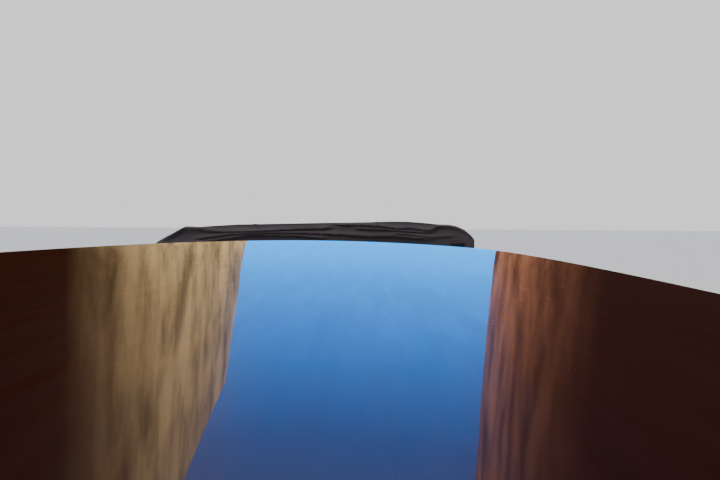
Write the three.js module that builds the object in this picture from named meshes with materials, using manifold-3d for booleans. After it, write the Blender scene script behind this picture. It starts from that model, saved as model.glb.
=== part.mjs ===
// A wooden water taxi of the canal kind, nine metres long, afloat: a planked hull on a keel and stem, mahogany
// decks, an open helm well behind a raked windscreen with a canvas spray hood, a glazed cabin under one long
// cambered roof, and a seating well with the engine under the deck behind it.
// Millimetres. +Y runs forward to the stem, +X to starboard, +Z up. The origin is amidships at the waterline.
import * as THREE from "three";
import { mergeVertices } from "three/addons/utils/BufferGeometryUtils.js";
import Module from "manifold-3d";

const wasm = await Module();
wasm.setup();

// Driving dimensions of the hull
const TRANSOM_Y = -4400;
const STEM_Y = 4600;
const HALF_BEAM = 1050;
const TRANSOM_HALF_BEAM = 920;
const STEM_HALF = 28;
const CHINE_HALF_BEAM = 900;
const TRANSOM_CHINE = 830;
const CHINE_Z = -90;
const CHINE_RISE = 540;
const KEEL_LINE_Z = -370;
const KEEL_LINE_RISE_AFT = 40;
const SHEER_Z = 640;
const SHEER_RISE = 320;
const SHEER_LOW_Y = -2600;
const BOW_SHAPE_Y = 2400;
const STEM_RAKE = 270;
const FOREFOOT = 600;
const PLANK = 35;
const BOTTOM_PLANK = 40;
const GAP = 0.4;
// The stations that every lengthwise piece is drawn through
const STATIONS = [
  -4400, -3950, -3450, -2900, -2300, -1650, -1000, -350, 300, 900, 1450, 1950, 2400, 2800, 3150, 3480,
  3780, 4040, 4260, 4430, 4540, 4600,
];

// Driving dimensions of the decks, wells and cabin
const DECK_EDGE = 28;
const DECK_CAMBER = 60;
const WELL_HALF = 785;
const WALL = 30;
const LINING_HALF = WELL_HALF - WALL;
// The two ends of the wells, each at a station
const AFT_WELL_Y = -3450;
const CABIN_AFT_Y = -2050;
const CABIN_FORE_Y = 715;
const FOREDECK_Y = 1950;
const CABIN_SOLE_Z = 25;
const AFT_SOLE_Z = 150;
const HELM_SOLE_Z = 400;
const SOLE_THICK = 30;
const COAMING_RISE = 62;
const CONSOLE_LOW_Z = 640;

// Driving dimensions of the roof
const ROOF_Z = 1600;
const ROOF_MID_Y = -684;
const ROOF_HALF_LENGTH = 1466;
const ROOF_HALF = 840;
const ROOF_FRONT_TAPER = 37;
const ROOF_CORNER = 90;
const ROOF_END_BOW = 62;
const ROOF_THICK = 40;
const ROOF_CREST_Y = -850;
const ROOF_CROSS_RADIUS = 10600;
const ROOF_LONG_RADIUS = 48000;

const DOOR_TOP_Z = 1480;
const WINDOW_LOW_Z = 985;
const WINDOW_HIGH_Z = 1425;
const WINDOW_CORNER = 70;

const mix = (a, b, t) => a + (b - a) * t;
const clamp = (t) => Math.min(1, Math.max(0, t));
const V = (...p) => new THREE.Vector3(...p);

// Hull lines, each a function of the station's distance forward of amidships
const sheerZ = (y) =>
  SHEER_Z + SHEER_RISE * (Math.max(0, y - SHEER_LOW_Y) / (STEM_Y - SHEER_LOW_Y)) ** 2;
const sheerX = (y) =>
  y < 0
    ? mix(HALF_BEAM, TRANSOM_HALF_BEAM, (y / TRANSOM_Y) ** 2)
    : mix(STEM_HALF, HALF_BEAM, Math.max(0, 1 - (y / STEM_Y) ** 3) ** 0.8);
const chineX = (y) =>
  y < 0
    ? mix(CHINE_HALF_BEAM, TRANSOM_CHINE, (y / TRANSOM_Y) ** 2)
    : mix(STEM_HALF, CHINE_HALF_BEAM, 1 - (y / STEM_Y) ** 2.2);
const chineZ = (y) => CHINE_Z + (y > 0 ? CHINE_RISE * (y / STEM_Y) ** 2.4 : 0);
const keelZ = (y) => KEEL_LINE_Z + KEEL_LINE_RISE_AFT * clamp((-1500 - y) / 2900);
const bowWeight = (y) => clamp((y - BOW_SHAPE_Y) / (STEM_Y - BOW_SHAPE_Y)) ** 2;
const between = (y0, y1) => STATIONS.filter((y) => y >= y0 && y <= y1);

// A point of the topsides, t from the chine to the sheer, and of the bottom, t from the keel to the chine
function sidePoint(y, t) {
  const flare = mix(0.8, 1.5, clamp(y / STEM_Y));
  const x = mix(chineX(y), sheerX(y), t ** flare);
  return [x, y - STEM_RAKE * (1 - t) * bowWeight(y), mix(chineZ(y), sheerZ(y), t)];
}
function bottomPoint(y, t) {
  const w = bowWeight(y);
  const turn = (t * Math.PI) / 2;
  const rise = mix(t, 1 - Math.cos(turn), w);
  return [
    chineX(y) * t,
    y - STEM_RAKE * w - FOREFOOT * w * (1 - Math.sin(turn)),
    mix(keelZ(y), chineZ(y), rise),
  ];
}
const bottomInsideZ = (x, y) =>
  mix(keelZ(y) + BOTTOM_PLANK, chineZ(y) + BOTTOM_PLANK, Math.abs(x) / (chineX(y) - PLANK));
const deckZ = (x, y) => sheerZ(y) + DECK_EDGE + DECK_CAMBER * (1 - (x / sheerX(y)) ** 2);
const roofZ = (x, y) =>
  ROOF_Z - x ** 2 / (2 * ROOF_CROSS_RADIUS) - (y - ROOF_CREST_Y) ** 2 / (2 * ROOF_LONG_RADIUS);

// Turns a closed geometry's faces outwards
function outward(geometry) {
  const p = geometry.attributes.position;
  const index = geometry.index.array;
  const at = (i) => V().fromBufferAttribute(p, index[i]);
  let volume = 0;
  for (let i = 0; i < index.length; i += 3) volume += at(i).dot(at(i + 1).cross(at(i + 2)));
  if (volume < 0)
    for (let i = 0; i < index.length; i += 3)
      [index[i + 1], index[i + 2]] = [index[i + 2], index[i + 1]];
  return geometry;
}
function meshOf(points, faces) {
  const geometry = new THREE.BufferGeometry();
  geometry.setAttribute("position", new THREE.Float32BufferAttribute(points.flat(), 3));
  geometry.setIndex(new THREE.Uint32BufferAttribute(faces.flat(), 1));
  return outward(geometry);
}
// A closed slab between two surfaces of u and v, each from 0 to 1
function slab(nu, nv, upper, lower) {
  const points = [];
  for (const surface of [upper, lower])
    for (let i = 0; i <= nu; i++)
      for (let j = 0; j <= nv; j++) points.push(surface(i / nu, j / nv));
  const at = (side, i, j) => side * (nu + 1) * (nv + 1) + i * (nv + 1) + j;
  const faces = [];
  const quad = (a, b, c, d) => faces.push([a, b, c], [a, c, d]);
  for (let i = 0; i < nu; i++)
    for (let j = 0; j < nv; j++) {
      quad(at(0, i, j), at(0, i + 1, j), at(0, i + 1, j + 1), at(0, i, j + 1));
      quad(at(1, i, j), at(1, i, j + 1), at(1, i + 1, j + 1), at(1, i + 1, j));
    }
  for (let i = 0; i < nu; i++) {
    quad(at(0, i, 0), at(1, i, 0), at(1, i + 1, 0), at(0, i + 1, 0));
    quad(at(0, i, nv), at(0, i + 1, nv), at(1, i + 1, nv), at(1, i, nv));
  }
  for (let j = 0; j < nv; j++) {
    quad(at(0, 0, j), at(0, 0, j + 1), at(1, 0, j + 1), at(1, 0, j));
    quad(at(0, nu, j), at(1, nu, j), at(1, nu, j + 1), at(0, nu, j + 1));
  }
  return meshOf(points, faces);
}
// The same with u across the boat and y through the stations
function stationSlab(nu, stations, upper, lower) {
  const n = stations.length - 1;
  const at = (surface) => (u, v) => surface(u, stations[Math.round(v * n)]);
  return slab(nu, n, at(upper), at(lower));
}
// A closed sweep through rings of points, each ring convex
function sweep(rings) {
  const n = rings[0].length;
  const faces = [];
  rings.slice(1).forEach((_, k) => {
    for (let i = 0; i < n; i++) {
      const a = k * n + i;
      const b = k * n + ((i + 1) % n);
      faces.push([a, b, b + n], [a, b + n, a + n]);
    }
  });
  const last = (rings.length - 1) * n;
  for (let i = 1; i < n - 1; i++) faces.push([0, i + 1, i], [last, last + i, last + i + 1]);
  return meshOf(rings.flat(), faces);
}

// A round bar through points that lie near one plane across the boat
function tube(points, r, sides = 6) {
  const rings = points.map((p, k) => {
    const before = points[Math.max(0, k - 1)];
    const after = points[Math.min(points.length - 1, k + 1)];
    const run = after.clone().sub(before).normalize();
    const side = V(0, 1, 0).addScaledVector(run, -run.y).normalize();
    const up = run.clone().cross(side);
    return Array.from({ length: sides }, (_, i) => {
      const a = (i * 2 * Math.PI) / sides;
      return p.clone().addScaledVector(side, r * Math.cos(a)).addScaledVector(up, r * Math.sin(a)).toArray();
    });
  });
  return sweep(rings);
}

// Joins and cuts of closed geometries
function solidOf(geometry) {
  const bare = new THREE.BufferGeometry();
  bare.setAttribute("position", geometry.attributes.position.clone());
  if (geometry.index) bare.setIndex(geometry.index.clone());
  const merged = mergeVertices(bare, 1e-3);
  return new wasm.Manifold(
    new wasm.Mesh({
      numProp: 3,
      vertProperties: merged.attributes.position.array,
      triVerts: new Uint32Array(merged.index.array),
    }),
  );
}
function geometryOf(solid) {
  const mesh = solid.getMesh();
  const geometry = new THREE.BufferGeometry();
  geometry.setAttribute("position", new THREE.BufferAttribute(mesh.vertProperties, 3));
  return geometry.setIndex(new THREE.BufferAttribute(mesh.triVerts, 1));
}
const join = (...parts) => geometryOf(parts.map(solidOf).reduce((a, b) => a.add(b)));
const cut = (part, ...tools) =>
  geometryOf(tools.map(solidOf).reduce((a, b) => a.subtract(b), solidOf(part)));
const overlapOf = (a, b) => geometryOf(solidOf(a).intersect(solidOf(b)));
const mirrored = (geometry) => {
  const other = geometry.clone().scale(-1, 1, 1);
  if (!other.index) return mirroredPlain(other);
  const index = other.index.array;
  for (let i = 0; i < index.length; i += 3)
    [index[i + 1], index[i + 2]] = [index[i + 2], index[i + 1]];
  return other;
};
function mirroredPlain(geometry) {
  const merged = mergeVertices(
    new THREE.BufferGeometry().setAttribute("position", geometry.attributes.position),
    1e-3,
  );
  return outward(merged);
}

// Plain shapes by their lowest and highest corners, and rods and bars between two points
function block([x0, x1], [y0, y1], [z0, z1]) {
  const geometry = new THREE.BoxGeometry(x1 - x0, y1 - y0, z1 - z0);
  return geometry.translate((x0 + x1) / 2, (y0 + y1) / 2, (z0 + z1) / 2);
}
function along(geometry, from, to, up = V(0, 0, 1)) {
  const y = to.clone().sub(from).normalize();
  const x = y.clone().cross(up).normalize();
  const z = x.clone().cross(y);
  const placed = new THREE.Matrix4().makeBasis(x, y, z);
  return geometry.applyMatrix4(placed.setPosition(from.clone().add(to).multiplyScalar(0.5)));
}
const bar = (from, to, width, depth, up) =>
  along(new THREE.BoxGeometry(width, from.distanceTo(to), depth), from, to, up);
const rod = (from, to, r, rEnd = r, sides = 10) =>
  along(new THREE.CylinderGeometry(rEnd, r, from.distanceTo(to), sides), from, to, V(1, 0.001, 0));

// Plates cut from an outline: standing fore and aft, standing across, or lying
function outlineOf(points, holes = []) {
  const shape = new THREE.Shape(points.map(([a, b]) => new THREE.Vector2(a, b)));
  shape.holes = holes;
  return shape;
}
const CURVE = 4;
function roundedHole(a0, a1, b0, b1, r) {
  const hole = new THREE.Path();
  hole.absarc(a1 - r, b1 - r, r, 0, Math.PI / 2);
  hole.absarc(a0 + r, b1 - r, r, Math.PI / 2, Math.PI);
  hole.absarc(a0 + r, b0 + r, r, Math.PI, Math.PI * 1.5);
  hole.absarc(a1 - r, b0 + r, r, Math.PI * 1.5, Math.PI * 2);
  return hole;
}
// A pane that fills a rounded opening, in the middle of a leaf or bulkhead that stands from y0 to y1
const PANE_HALF = 3;
function paneAcross(a0, a1, b0, b1, r, y0, y1) {
  const edge = roundedHole(a0 + GAP, a1 - GAP, b0 + GAP, b1 - GAP, r - GAP);
  const outline = new THREE.Shape(edge.getPoints(CURVE));
  const middle = (y0 + y1) / 2;
  return plateAcross(outline, middle - PANE_HALF, middle + PANE_HALF);
}
const squareHole = (a0, a1, b0, b1) =>
  new THREE.Path([[a0, b0], [a1, b0], [a1, b1], [a0, b1]].map(([a, b]) => new THREE.Vector2(a, b)));
function plateAlong(shape, x0, x1) {
  const geometry = new THREE.ExtrudeGeometry(shape, {
    depth: x1 - x0, bevelEnabled: false, curveSegments: CURVE,
  });
  const turn = new THREE.Matrix4().makeBasis(V(0, 1, 0), V(0, 0, 1), V(1, 0, 0));
  return geometry.applyMatrix4(turn.setPosition(x0, 0, 0));
}
function plateAcross(shape, y0, y1) {
  const geometry = new THREE.ExtrudeGeometry(shape, {
    depth: y1 - y0, bevelEnabled: false, curveSegments: CURVE,
  });
  const turn = new THREE.Matrix4().makeBasis(V(1, 0, 0), V(0, 0, 1), V(0, -1, 0));
  return geometry.applyMatrix4(turn.setPosition(0, y1, 0));
}

// Finishes
const finish = (color, roughness, metalness = 0) =>
  new THREE.MeshStandardMaterial({ color, roughness, metalness });
const varnish = finish(0x6b2f18, 0.12);
const deckVarnish = finish(0x8a4524, 0.15);
const roofVarnish = finish(0x4a1c10, 0.05);
const bottomPaint = finish(0x5a1a1c, 0.6);
const teak = finish(0x9a7046, 0.5);
const steel = finish(0xc8ccd0, 0.2, 1);
const bronze = finish(0xa8793a, 0.35, 1);
const leather = finish(0xd8c8a4, 0.5);
const canvas = finish(0x2c2728, 0.85);
const ironPaint = finish(0x3c4a44, 0.5);
const clearGlass = new THREE.MeshStandardMaterial({
  color: 0xb8c8c8, roughness: 0.02, transparent: true, opacity: 0.35,
});

const boat = new THREE.Group();
function add(name, geometry, material) {
  const mesh = new THREE.Mesh(geometry, material);
  mesh.name = name;
  boat.add(mesh);
  return mesh;
}
// A starboard piece and its mirror image to port
function addPair(name, geometry, material) {
  add(`${name}_starboard`, geometry, material);
  add(`${name}_port`, mirrored(geometry), material);
}

// Hull: bottom, two topsides mitred to it at the chine, transom, and the keel with the stem
const KEEL = { aftY: -3000, foreY: 3300, footZ: -600, half: 25 };
const NARROWEST = 0.2;
const TRANSOM_STEPS = { bottom: 4, side: 5, top: 4 };
function addHull() {
  const bottomSurface = (lift) => (u, y) => {
    const s = mix(-1, 1, u);
    const p = bottomPoint(y, Math.abs(s));
    const c = chineX(y);
    const narrow = lift ? Math.max(c - PLANK, NARROWEST * c) / c : 1;
    return [Math.sign(s) * p[0] * narrow, p[1], p[2] + lift];
  };
  const bottom = stationSlab(8, STATIONS, bottomSurface(BOTTOM_PLANK), bottomSurface(0));
  add("hull_bottom", bottom, bottomPaint);

  const outer = (u, y) => {
    const p = sidePoint(y, u);
    return [p[0], p[1], p[2] + GAP * (1 - u)];
  };
  const inner = (u, y) => {
    const p = sidePoint(y, u);
    const mitre = (BOTTOM_PLANK + GAP) * (1 - u);
    return [Math.max(p[0] - PLANK, KEEL.half + GAP), p[1], p[2] + mitre];
  };
  addPair("hull_side", stationSlab(5, STATIONS, outer, inner), varnish);

  const { bottom: under, side, top } = TRANSOM_STEPS;
  const half = [];
  for (let k = 0; k < under; k++) half.push(bottomPoint(TRANSOM_Y, k / under));
  for (let k = 0; k <= side; k++) half.push(sidePoint(TRANSOM_Y, k / side));
  const edge = half.map(([x, , z]) => [x, z]);
  for (let k = top; k > 0; k--) {
    const x = (sheerX(TRANSOM_Y) * k) / top;
    edge.push([x, deckZ(x, TRANSOM_Y)]);
  }
  const crown = [0, deckZ(0, TRANSOM_Y)];
  const loop = [...edge, crown, ...edge.slice(1).reverse().map(([x, z]) => [-x, z])];
  add("transom", plateAcross(outlineOf(loop), TRANSOM_Y - BOTTOM_PLANK, TRANSOM_Y - GAP), varnish);
}

// The stem's face stands ahead of the planking and turns into the keel's foot by a quarter of an ellipse
const STEM = { face: 42, deep: 62, fore: 58, headZ: 1015, turnFrom: 80, turnTo: 8, turnStep: 12 };
const SEAM = 0.5;
function addKeelAndStem() {
  const under = [[KEEL.aftY, keelZ(KEEL.aftY) - GAP]];
  for (const y of between(KEEL.aftY, STEM_Y - 1)) {
    const p = bottomPoint(y, 0);
    under.push([p[1], p[2] - SEAM]);
  }
  const steps = 4;
  for (let k = 0; k <= steps; k++) {
    const p = bottomPoint(STEM_Y, k / steps);
    under.push([p[1] + SEAM, p[2] - SEAM * (1 - k / steps)]);
  }
  const [, endY, endZ] = sidePoint(STEM_Y, 0);
  const inside = [[endY + SEAM, endZ + STEM.deep], [STEM_Y - STEM.deep, sheerZ(STEM_Y) - 8]];
  const top = STEM.headZ;
  const head = [[STEM_Y + GAP, sheerZ(STEM_Y) - 3], [STEM_Y + GAP, top - 3], [STEM_Y + STEM.face, top + 3]];
  const face = [[endY + STEM.deep, endZ]];
  const centreZ = endZ - 40;
  for (let a = STEM.turnFrom; a >= STEM.turnTo; a -= STEM.turnStep) {
    const turn = (a * Math.PI) / 180;
    face.push([
      KEEL.foreY + (endY + STEM.fore - KEEL.foreY) * Math.sin(turn),
      centreZ + (KEEL.footZ - centreZ) * Math.cos(turn),
    ]);
  }
  const foot = [[KEEL.foreY - STEM.deep, KEEL.footZ], [KEEL.aftY, KEEL.footZ]];
  const profile = outlineOf([...under, ...inside, ...head, ...face, ...foot]);
  add("keel_and_stem", plateAlong(profile, -KEEL.half, KEEL.half), varnish);
}

// Decks, all on one cambered surface over the sheer, and the hatch lids cut out of them
const HATCH_GAP = 7;
const HINGE_GAP = 0.6;
const BOW_HATCH = { half: 270, y0: 2720, y1: 3220 };
const ENGINE_HATCH = { half: 390, y0: -4240, y1: -3620 };
function deckPart(across, y0, y1, innerX) {
  const acrossAt = (u, y) => mix(innerX === null ? -sheerX(y) : innerX, sheerX(y), u);
  const upper = (u, y) => {
    const x = acrossAt(u, y);
    return [x, y, deckZ(x, y)];
  };
  const lower = (u, y) => {
    const x = acrossAt(u, y);
    return [x, y, deckZ(x, y) - DECK_EDGE + GAP];
  };
  return stationSlab(across, between(y0, y1), upper, lower);
}
const THROUGH_DECK = [300, 1300];
function hatchBox({ half, y0, y1 }, grow) {
  return block([-half - grow, half + grow], [y0 - grow, y1 + (grow ? HINGE_GAP : 0)], THROUGH_DECK);
}
function addDecks() {
  const foredeck = deckPart(8, FOREDECK_Y, STEM_Y, null);
  const aftDeck = deckPart(8, TRANSOM_Y, AFT_WELL_Y, null);
  add("foredeck", cut(foredeck, hatchBox(BOW_HATCH, HATCH_GAP)), deckVarnish);
  add("bow_hatch", overlapOf(foredeck, hatchBox(BOW_HATCH, 0)), deckVarnish);
  add("aft_deck", cut(aftDeck, hatchBox(ENGINE_HATCH, HATCH_GAP)), deckVarnish);
  add("engine_hatch", overlapOf(aftDeck, hatchBox(ENGINE_HATCH, 0)), deckVarnish);
  const sideDeck = deckPart(2, AFT_WELL_Y, FOREDECK_Y, WELL_HALF + GAP);
  const ends = block([0, 2000], [AFT_WELL_Y + GAP, FOREDECK_Y - GAP], [0, 2000]);
  addPair("side_deck", overlapOf(sideDeck, ends), deckVarnish);
}

// The rubbing rail's section: out from the sheer and up from it
const RAIL_SECTION = [
  [0, 22], [24, 22], [34, 8], [34, -50], [20, -66], [0, -66],
];
function addRubRails() {
  const rings = STATIONS.map((y) =>
    RAIL_SECTION.map(([out, up]) => [sheerX(y) + GAP + out, y, sheerZ(y) + up]),
  );
  addPair("rub_rail", sweep(rings), varnish);
}

// Cabin: two sides with their windows, two bulkheads with a doorway between two windows each, and the roof
const SIDE_WINDOWS = [-1700, -1010, -320, 370];
const SIDE_WINDOW_HALF = 300;
const SIDE_FOOT_Z = -20;
const SIDE_STEPS = 8;
const GLASS = { thick: 6, lap: 25, short: 15 };
const underRoof = (x, y) => roofZ(x, y) - ROOF_THICK - 1;
function addCabinSides() {
  const outline = [[CABIN_AFT_Y, SIDE_FOOT_Z], [CABIN_FORE_Y, SIDE_FOOT_Z]];
  for (let k = SIDE_STEPS; k >= 0; k--) {
    const y = mix(CABIN_AFT_Y, CABIN_FORE_Y, k / SIDE_STEPS);
    outline.push([y, underRoof(WELL_HALF, y)]);
  }
  const holes = SIDE_WINDOWS.map((y) =>
    roundedHole(y - SIDE_WINDOW_HALF, y + SIDE_WINDOW_HALF, WINDOW_LOW_Z, WINDOW_HIGH_Z, WINDOW_CORNER),
  );
  addPair("cabin_side", plateAlong(outlineOf(outline, holes), LINING_HALF, WELL_HALF), varnish);
  const pane = block(
    [LINING_HALF - GAP - GLASS.thick, LINING_HALF - GAP],
    [CABIN_AFT_Y + WALL + GLASS.short, CABIN_FORE_Y - WALL - GLASS.short],
    [WINDOW_LOW_Z - GLASS.lap, WINDOW_HIGH_Z + GLASS.lap],
  );
  addPair("side_glass", pane, clearGlass);
}

const DOORWAY_HALF = 320;
const END_WINDOW = { low: 385, high: 695 };
const BULKHEAD_STEPS = 4;
function addBulkhead(name, y0, y1, doorLowZ) {
  const half = LINING_HALF - GAP;
  const footZ = CABIN_SOLE_Z + GAP;
  const topEdge = [];
  for (let k = BULKHEAD_STEPS; k >= -BULKHEAD_STEPS; k--) {
    const x = (half * k) / BULKHEAD_STEPS;
    topEdge.push([x, Math.min(underRoof(x, y0), underRoof(x, y1))]);
  }
  const outline = [[-half, footZ], [half, footZ], ...topEdge];
  const { low, high } = END_WINDOW;
  const holes = [
    squareHole(-DOORWAY_HALF, DOORWAY_HALF, doorLowZ, DOOR_TOP_Z),
    roundedHole(low, high, WINDOW_LOW_Z, WINDOW_HIGH_Z, WINDOW_CORNER),
    roundedHole(-high, -low, WINDOW_LOW_Z, WINDOW_HIGH_Z, WINDOW_CORNER),
  ];
  add(name, plateAcross(outlineOf(outline, holes), y0, y1), varnish);
  const pane = paneAcross(low, high, WINDOW_LOW_Z, WINDOW_HIGH_Z, WINDOW_CORNER, y0, y1);
  addPair(`${name}_glass`, pane, clearGlass);
}

// The roof's half width at a station: parallel, with a slight taper and round corners at its ends
function roofHalf(y) {
  const fromMid = (y - ROOF_MID_Y) / ROOF_HALF_LENGTH;
  const taper = ROOF_FRONT_TAPER * Math.max(0, fromMid) ** 3;
  const intoCorner = clamp((Math.abs(y - ROOF_MID_Y) - ROOF_HALF_LENGTH + ROOF_CORNER) / ROOF_CORNER);
  return ROOF_HALF - taper - ROOF_CORNER * (1 - Math.sqrt(1 - intoCorner ** 2));
}
// Shares of the half length, closer where the corners turn
const ROOF_STEPS = [0.31, 0.62, 0.925, 0.966, 0.99, 1];
const ROOF_LEAN = 6;
function addRoof() {
  const steps = [...ROOF_STEPS.map((t) => -t).reverse(), 0, ...ROOF_STEPS];
  const surface = (inset, drop) => (u, t) => {
    const y = ROOF_MID_Y + t * (ROOF_HALF_LENGTH - inset);
    const s = mix(-1, 1, u);
    const x = s * (roofHalf(y) - inset);
    const end = y - Math.sign(t) * ROOF_END_BOW * Math.abs(t) ** 3 * s * s;
    return [x, end, roofZ(x, end) - drop];
  };
  add("roof", stationSlab(12, steps, surface(ROOF_LEAN, 0), surface(0, ROOF_THICK)), roofVarnish);
}

// Soles
function addSoles() {
  const half = LINING_HALF - GAP;
  const soles = [
    // name, lowest y, highest y, top z
    ["cabin_sole", CABIN_AFT_Y, CABIN_FORE_Y, CABIN_SOLE_Z],
    ["helm_sole", CABIN_FORE_Y + GAP, FOREDECK_Y, HELM_SOLE_Z],
    ["aft_sole", AFT_WELL_Y + WALL + GAP, CABIN_AFT_Y - GAP, AFT_SOLE_Z],
  ];
  for (const [name, y0, y1, z] of soles)
    add(name, block([-half, half], [y0, y1], [z - SOLE_THICK, z]), teak);
}

// Coamings: the linings of the two wells, standing a little proud of the deck
function coamingSide(y0, y1, footZ) {
  const outline = [[y0, footZ], [y1, footZ]];
  const steps = 6;
  for (let k = steps; k >= 0; k--) {
    const y = mix(y0, y1, k / steps);
    outline.push([y, deckZ(WELL_HALF, y) + COAMING_RISE]);
  }
  return plateAlong(outlineOf(outline), LINING_HALF, WELL_HALF);
}
function addCoamings() {
  const helmSide = coamingSide(CABIN_FORE_Y + GAP, FOREDECK_Y, HELM_SOLE_Z - SOLE_THICK);
  const front = block(
    [-WELL_HALF, WELL_HALF],
    [FOREDECK_Y - GAP - WALL, FOREDECK_Y - GAP],
    [HELM_SOLE_Z + GAP, CONSOLE_LOW_Z - GAP],
  );
  add("helm_coaming", join(helmSide, mirrored(helmSide), front), varnish);

  const foot = AFT_SOLE_Z - SOLE_THICK;
  const side = coamingSide(AFT_WELL_Y, CABIN_AFT_Y - GAP, foot);
  const back = block(
    [-WELL_HALF, WELL_HALF],
    [AFT_WELL_Y, AFT_WELL_Y + WALL],
    [foot, deckZ(WELL_HALF, AFT_WELL_Y) + COAMING_RISE],
  );
  add("aft_coaming", join(side, mirrored(side), back), varnish);
}

// Seats: benches with their cushions down both sides of the cabin, round the aft well, and beside the helm
const BENCH = { depth: 400, top: 330, y0: -1940, y1: 330, inset: 8, toe: 60, lip: 40 };
const CUSHION = 100;
const BACK = 110;
const SEAT = { nose: 15, backTop: 850, backLean: 25, inset: 6 };
function addCabinSeats() {
  const out = LINING_HALF - GAP - BENCH.inset;
  const inner = out - BENCH.depth;
  const floor = CABIN_SOLE_Z + GAP;
  const { top, y0, y1, toe, lip } = BENCH;
  const base = outlineOf([
    [inner + toe, floor], [out, floor], [out, top], [inner, top], [inner, top - lip], [inner + toe, top - lip - 20],
  ]);
  addPair("cabin_bench", plateAcross(base, y0, y1), varnish);

  const low = top + GAP;
  const wall = out - 1;
  const nose = inner - SEAT.nose;
  const seat = outlineOf([
    [nose, low], [wall, low], [wall, SEAT.backTop], [out - BACK + SEAT.backLean, SEAT.backTop],
    [out - BACK, low + CUSHION], [nose, low + CUSHION],
  ]);
  addPair("cabin_seat", plateAcross(seat, y0 + SEAT.inset, y1 - SEAT.inset), leather);
}

const AFT_BENCH = { side: 380, back: 420, top: 430, y1: -2500, setBack: 40, nose: 10, backTop: 760 };
function addAftSeats() {
  const out = LINING_HALF - GAP;
  const y0 = AFT_WELL_Y + WALL + GAP;
  // A U of one depth along the sides and another across the back
  const around = (inset, side, back, z0, z1) => {
    const edge = out - inset;
    const arm = block([out - side, edge], [y0 + inset, AFT_BENCH.y1 - inset], [z0, z1]);
    return join(arm, mirrored(arm), block([-edge, edge], [y0 + inset, y0 + back], [z0, z1]));
  };
  const { side, back, top, setBack, nose, backTop } = AFT_BENCH;
  add("aft_bench", around(0, side - setBack, back - setBack, AFT_SOLE_Z + GAP, top), varnish);
  const low = top + GAP;
  const seat = around(SEAT.inset, side + nose, back + nose, low, low + CUSHION);
  const backs = around(SEAT.inset, BACK, BACK, low + CUSHION - 1, backTop);
  add("aft_seat", join(seat, backs), leather);
}

const HELM_SEAT = { x0: 440, x1: 740, y0: 1085, y1: 1430, top: 800, pad: 70, lip: 8 };
function addHelmSeat() {
  const { x0, x1, y0, y1, top, pad, lip } = HELM_SEAT;
  const box = block([x0, x1], [y0, y1], [HELM_SOLE_Z + GAP, top]);
  const cushion = block([x0 - lip, x1 + lip - 2], [y0 - lip, y1 + lip], [top - 1, top + pad]);
  add("helm_seat", join(box, cushion), leather);
}

// Steps down from the helm well into the cabin
const STEPS = { half: 300, deep: 260, upperDeep: 140, lowZ: 145, highZ: 270 };
function addSteps() {
  const { half, deep, upperDeep, lowZ, highZ } = STEPS;
  const floor = CABIN_SOLE_Z + GAP;
  const y1 = CABIN_FORE_Y - WALL - GAP;
  const outline = outlineOf([
    [y1 - deep, floor], [y1, floor], [y1, highZ], [y1 - upperDeep, highZ], [y1 - upperDeep, lowZ], [y1 - deep, lowZ],
  ]);
  add("cabin_steps", plateAlong(outline, -half, half), teak);
}

// Helm: the console under the windscreen, its engine control, the wheel on its raked column
const WHEEL = { x: -210, y: 1452, z: 905, r: 190, rim: 13, tilt: 28, column: 106, boss: 60, spokes: 3 };
const wheelTilt = (WHEEL.tilt * Math.PI) / 180;
const wheelAxis = V(0, -Math.cos(wheelTilt), Math.sin(wheelTilt));
const onColumn = (reach) => V(WHEEL.x, WHEEL.y, WHEEL.z).addScaledVector(wheelAxis, -reach);
const CONSOLE_FRONT = [
  // y, z, from the foredeck's edge over the top and down the dash to the knees
  [1790, 872], [1640, 914], [1572, 890], [1540, 770], [1556, 700],
];
const CONSOLE = { foreZ: 862, kneeY: 1700 };
const CONTROL = { x: 155, half: 35, y0: 1560, y1: 1650, z0: 820, z1: 945 };
const LEVER = { footY: 1606, headY: 1578, headZ: 1050, width: 18, thick: 12, knob: 22 };
function addConsole() {
  const half = LINING_HALF - GAP;
  const front = FOREDECK_Y - GAP;
  const low = CONSOLE_LOW_Z;
  const profile = [[front, low], [front, CONSOLE.foreZ], ...CONSOLE_FRONT, [CONSOLE.kneeY, low]];
  const body = plateAlong(outlineOf(profile), -half, half);
  const boss = rod(onColumn(WHEEL.column + HINGE_GAP), onColumn(WHEEL.column + WHEEL.boss), 30, 36, 14);
  const { x, y0, y1, z0, z1 } = CONTROL;
  const box = block([x - CONTROL.half, x + CONTROL.half], [y0, y1], [z0, z1]);
  const lever = bar(V(x, LEVER.footY, z1 - 20), V(x, LEVER.headY, LEVER.headZ), LEVER.width, LEVER.thick);
  const knob = new THREE.SphereGeometry(LEVER.knob, 8, 6).translate(x, LEVER.headY - 2, LEVER.headZ + 10);
  add("helm_console", join(body, boss, box, lever, knob), varnish);
}
function addSteeringWheel() {
  const { x, y, z, r, rim, column, spokes } = WHEEL;
  const ring = new THREE.TorusGeometry(r, rim, 8, 28);
  const hub = new THREE.CylinderGeometry(38, 30, 46, 12).rotateX(Math.PI / 2);
  const shank = new THREE.CylinderGeometry(19, 19, column - 10, 10).rotateX(Math.PI / 2);
  const parts = [ring, hub, shank.translate(0, 0, -(column + 10) / 2)];
  for (let k = 0; k < spokes; k++) {
    const a = Math.PI / 2 + (k * 2 * Math.PI) / spokes;
    parts.push(bar(V(0, 0, 0), V(r * Math.cos(a), r * Math.sin(a), 0), 26, 9, V(0, 0, 1)));
  }
  const mesh = add("steering_wheel", join(...parts), steel);
  mesh.position.set(x, y, z);
  mesh.rotation.x = Math.PI / 2 - wheelTilt;
}

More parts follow.
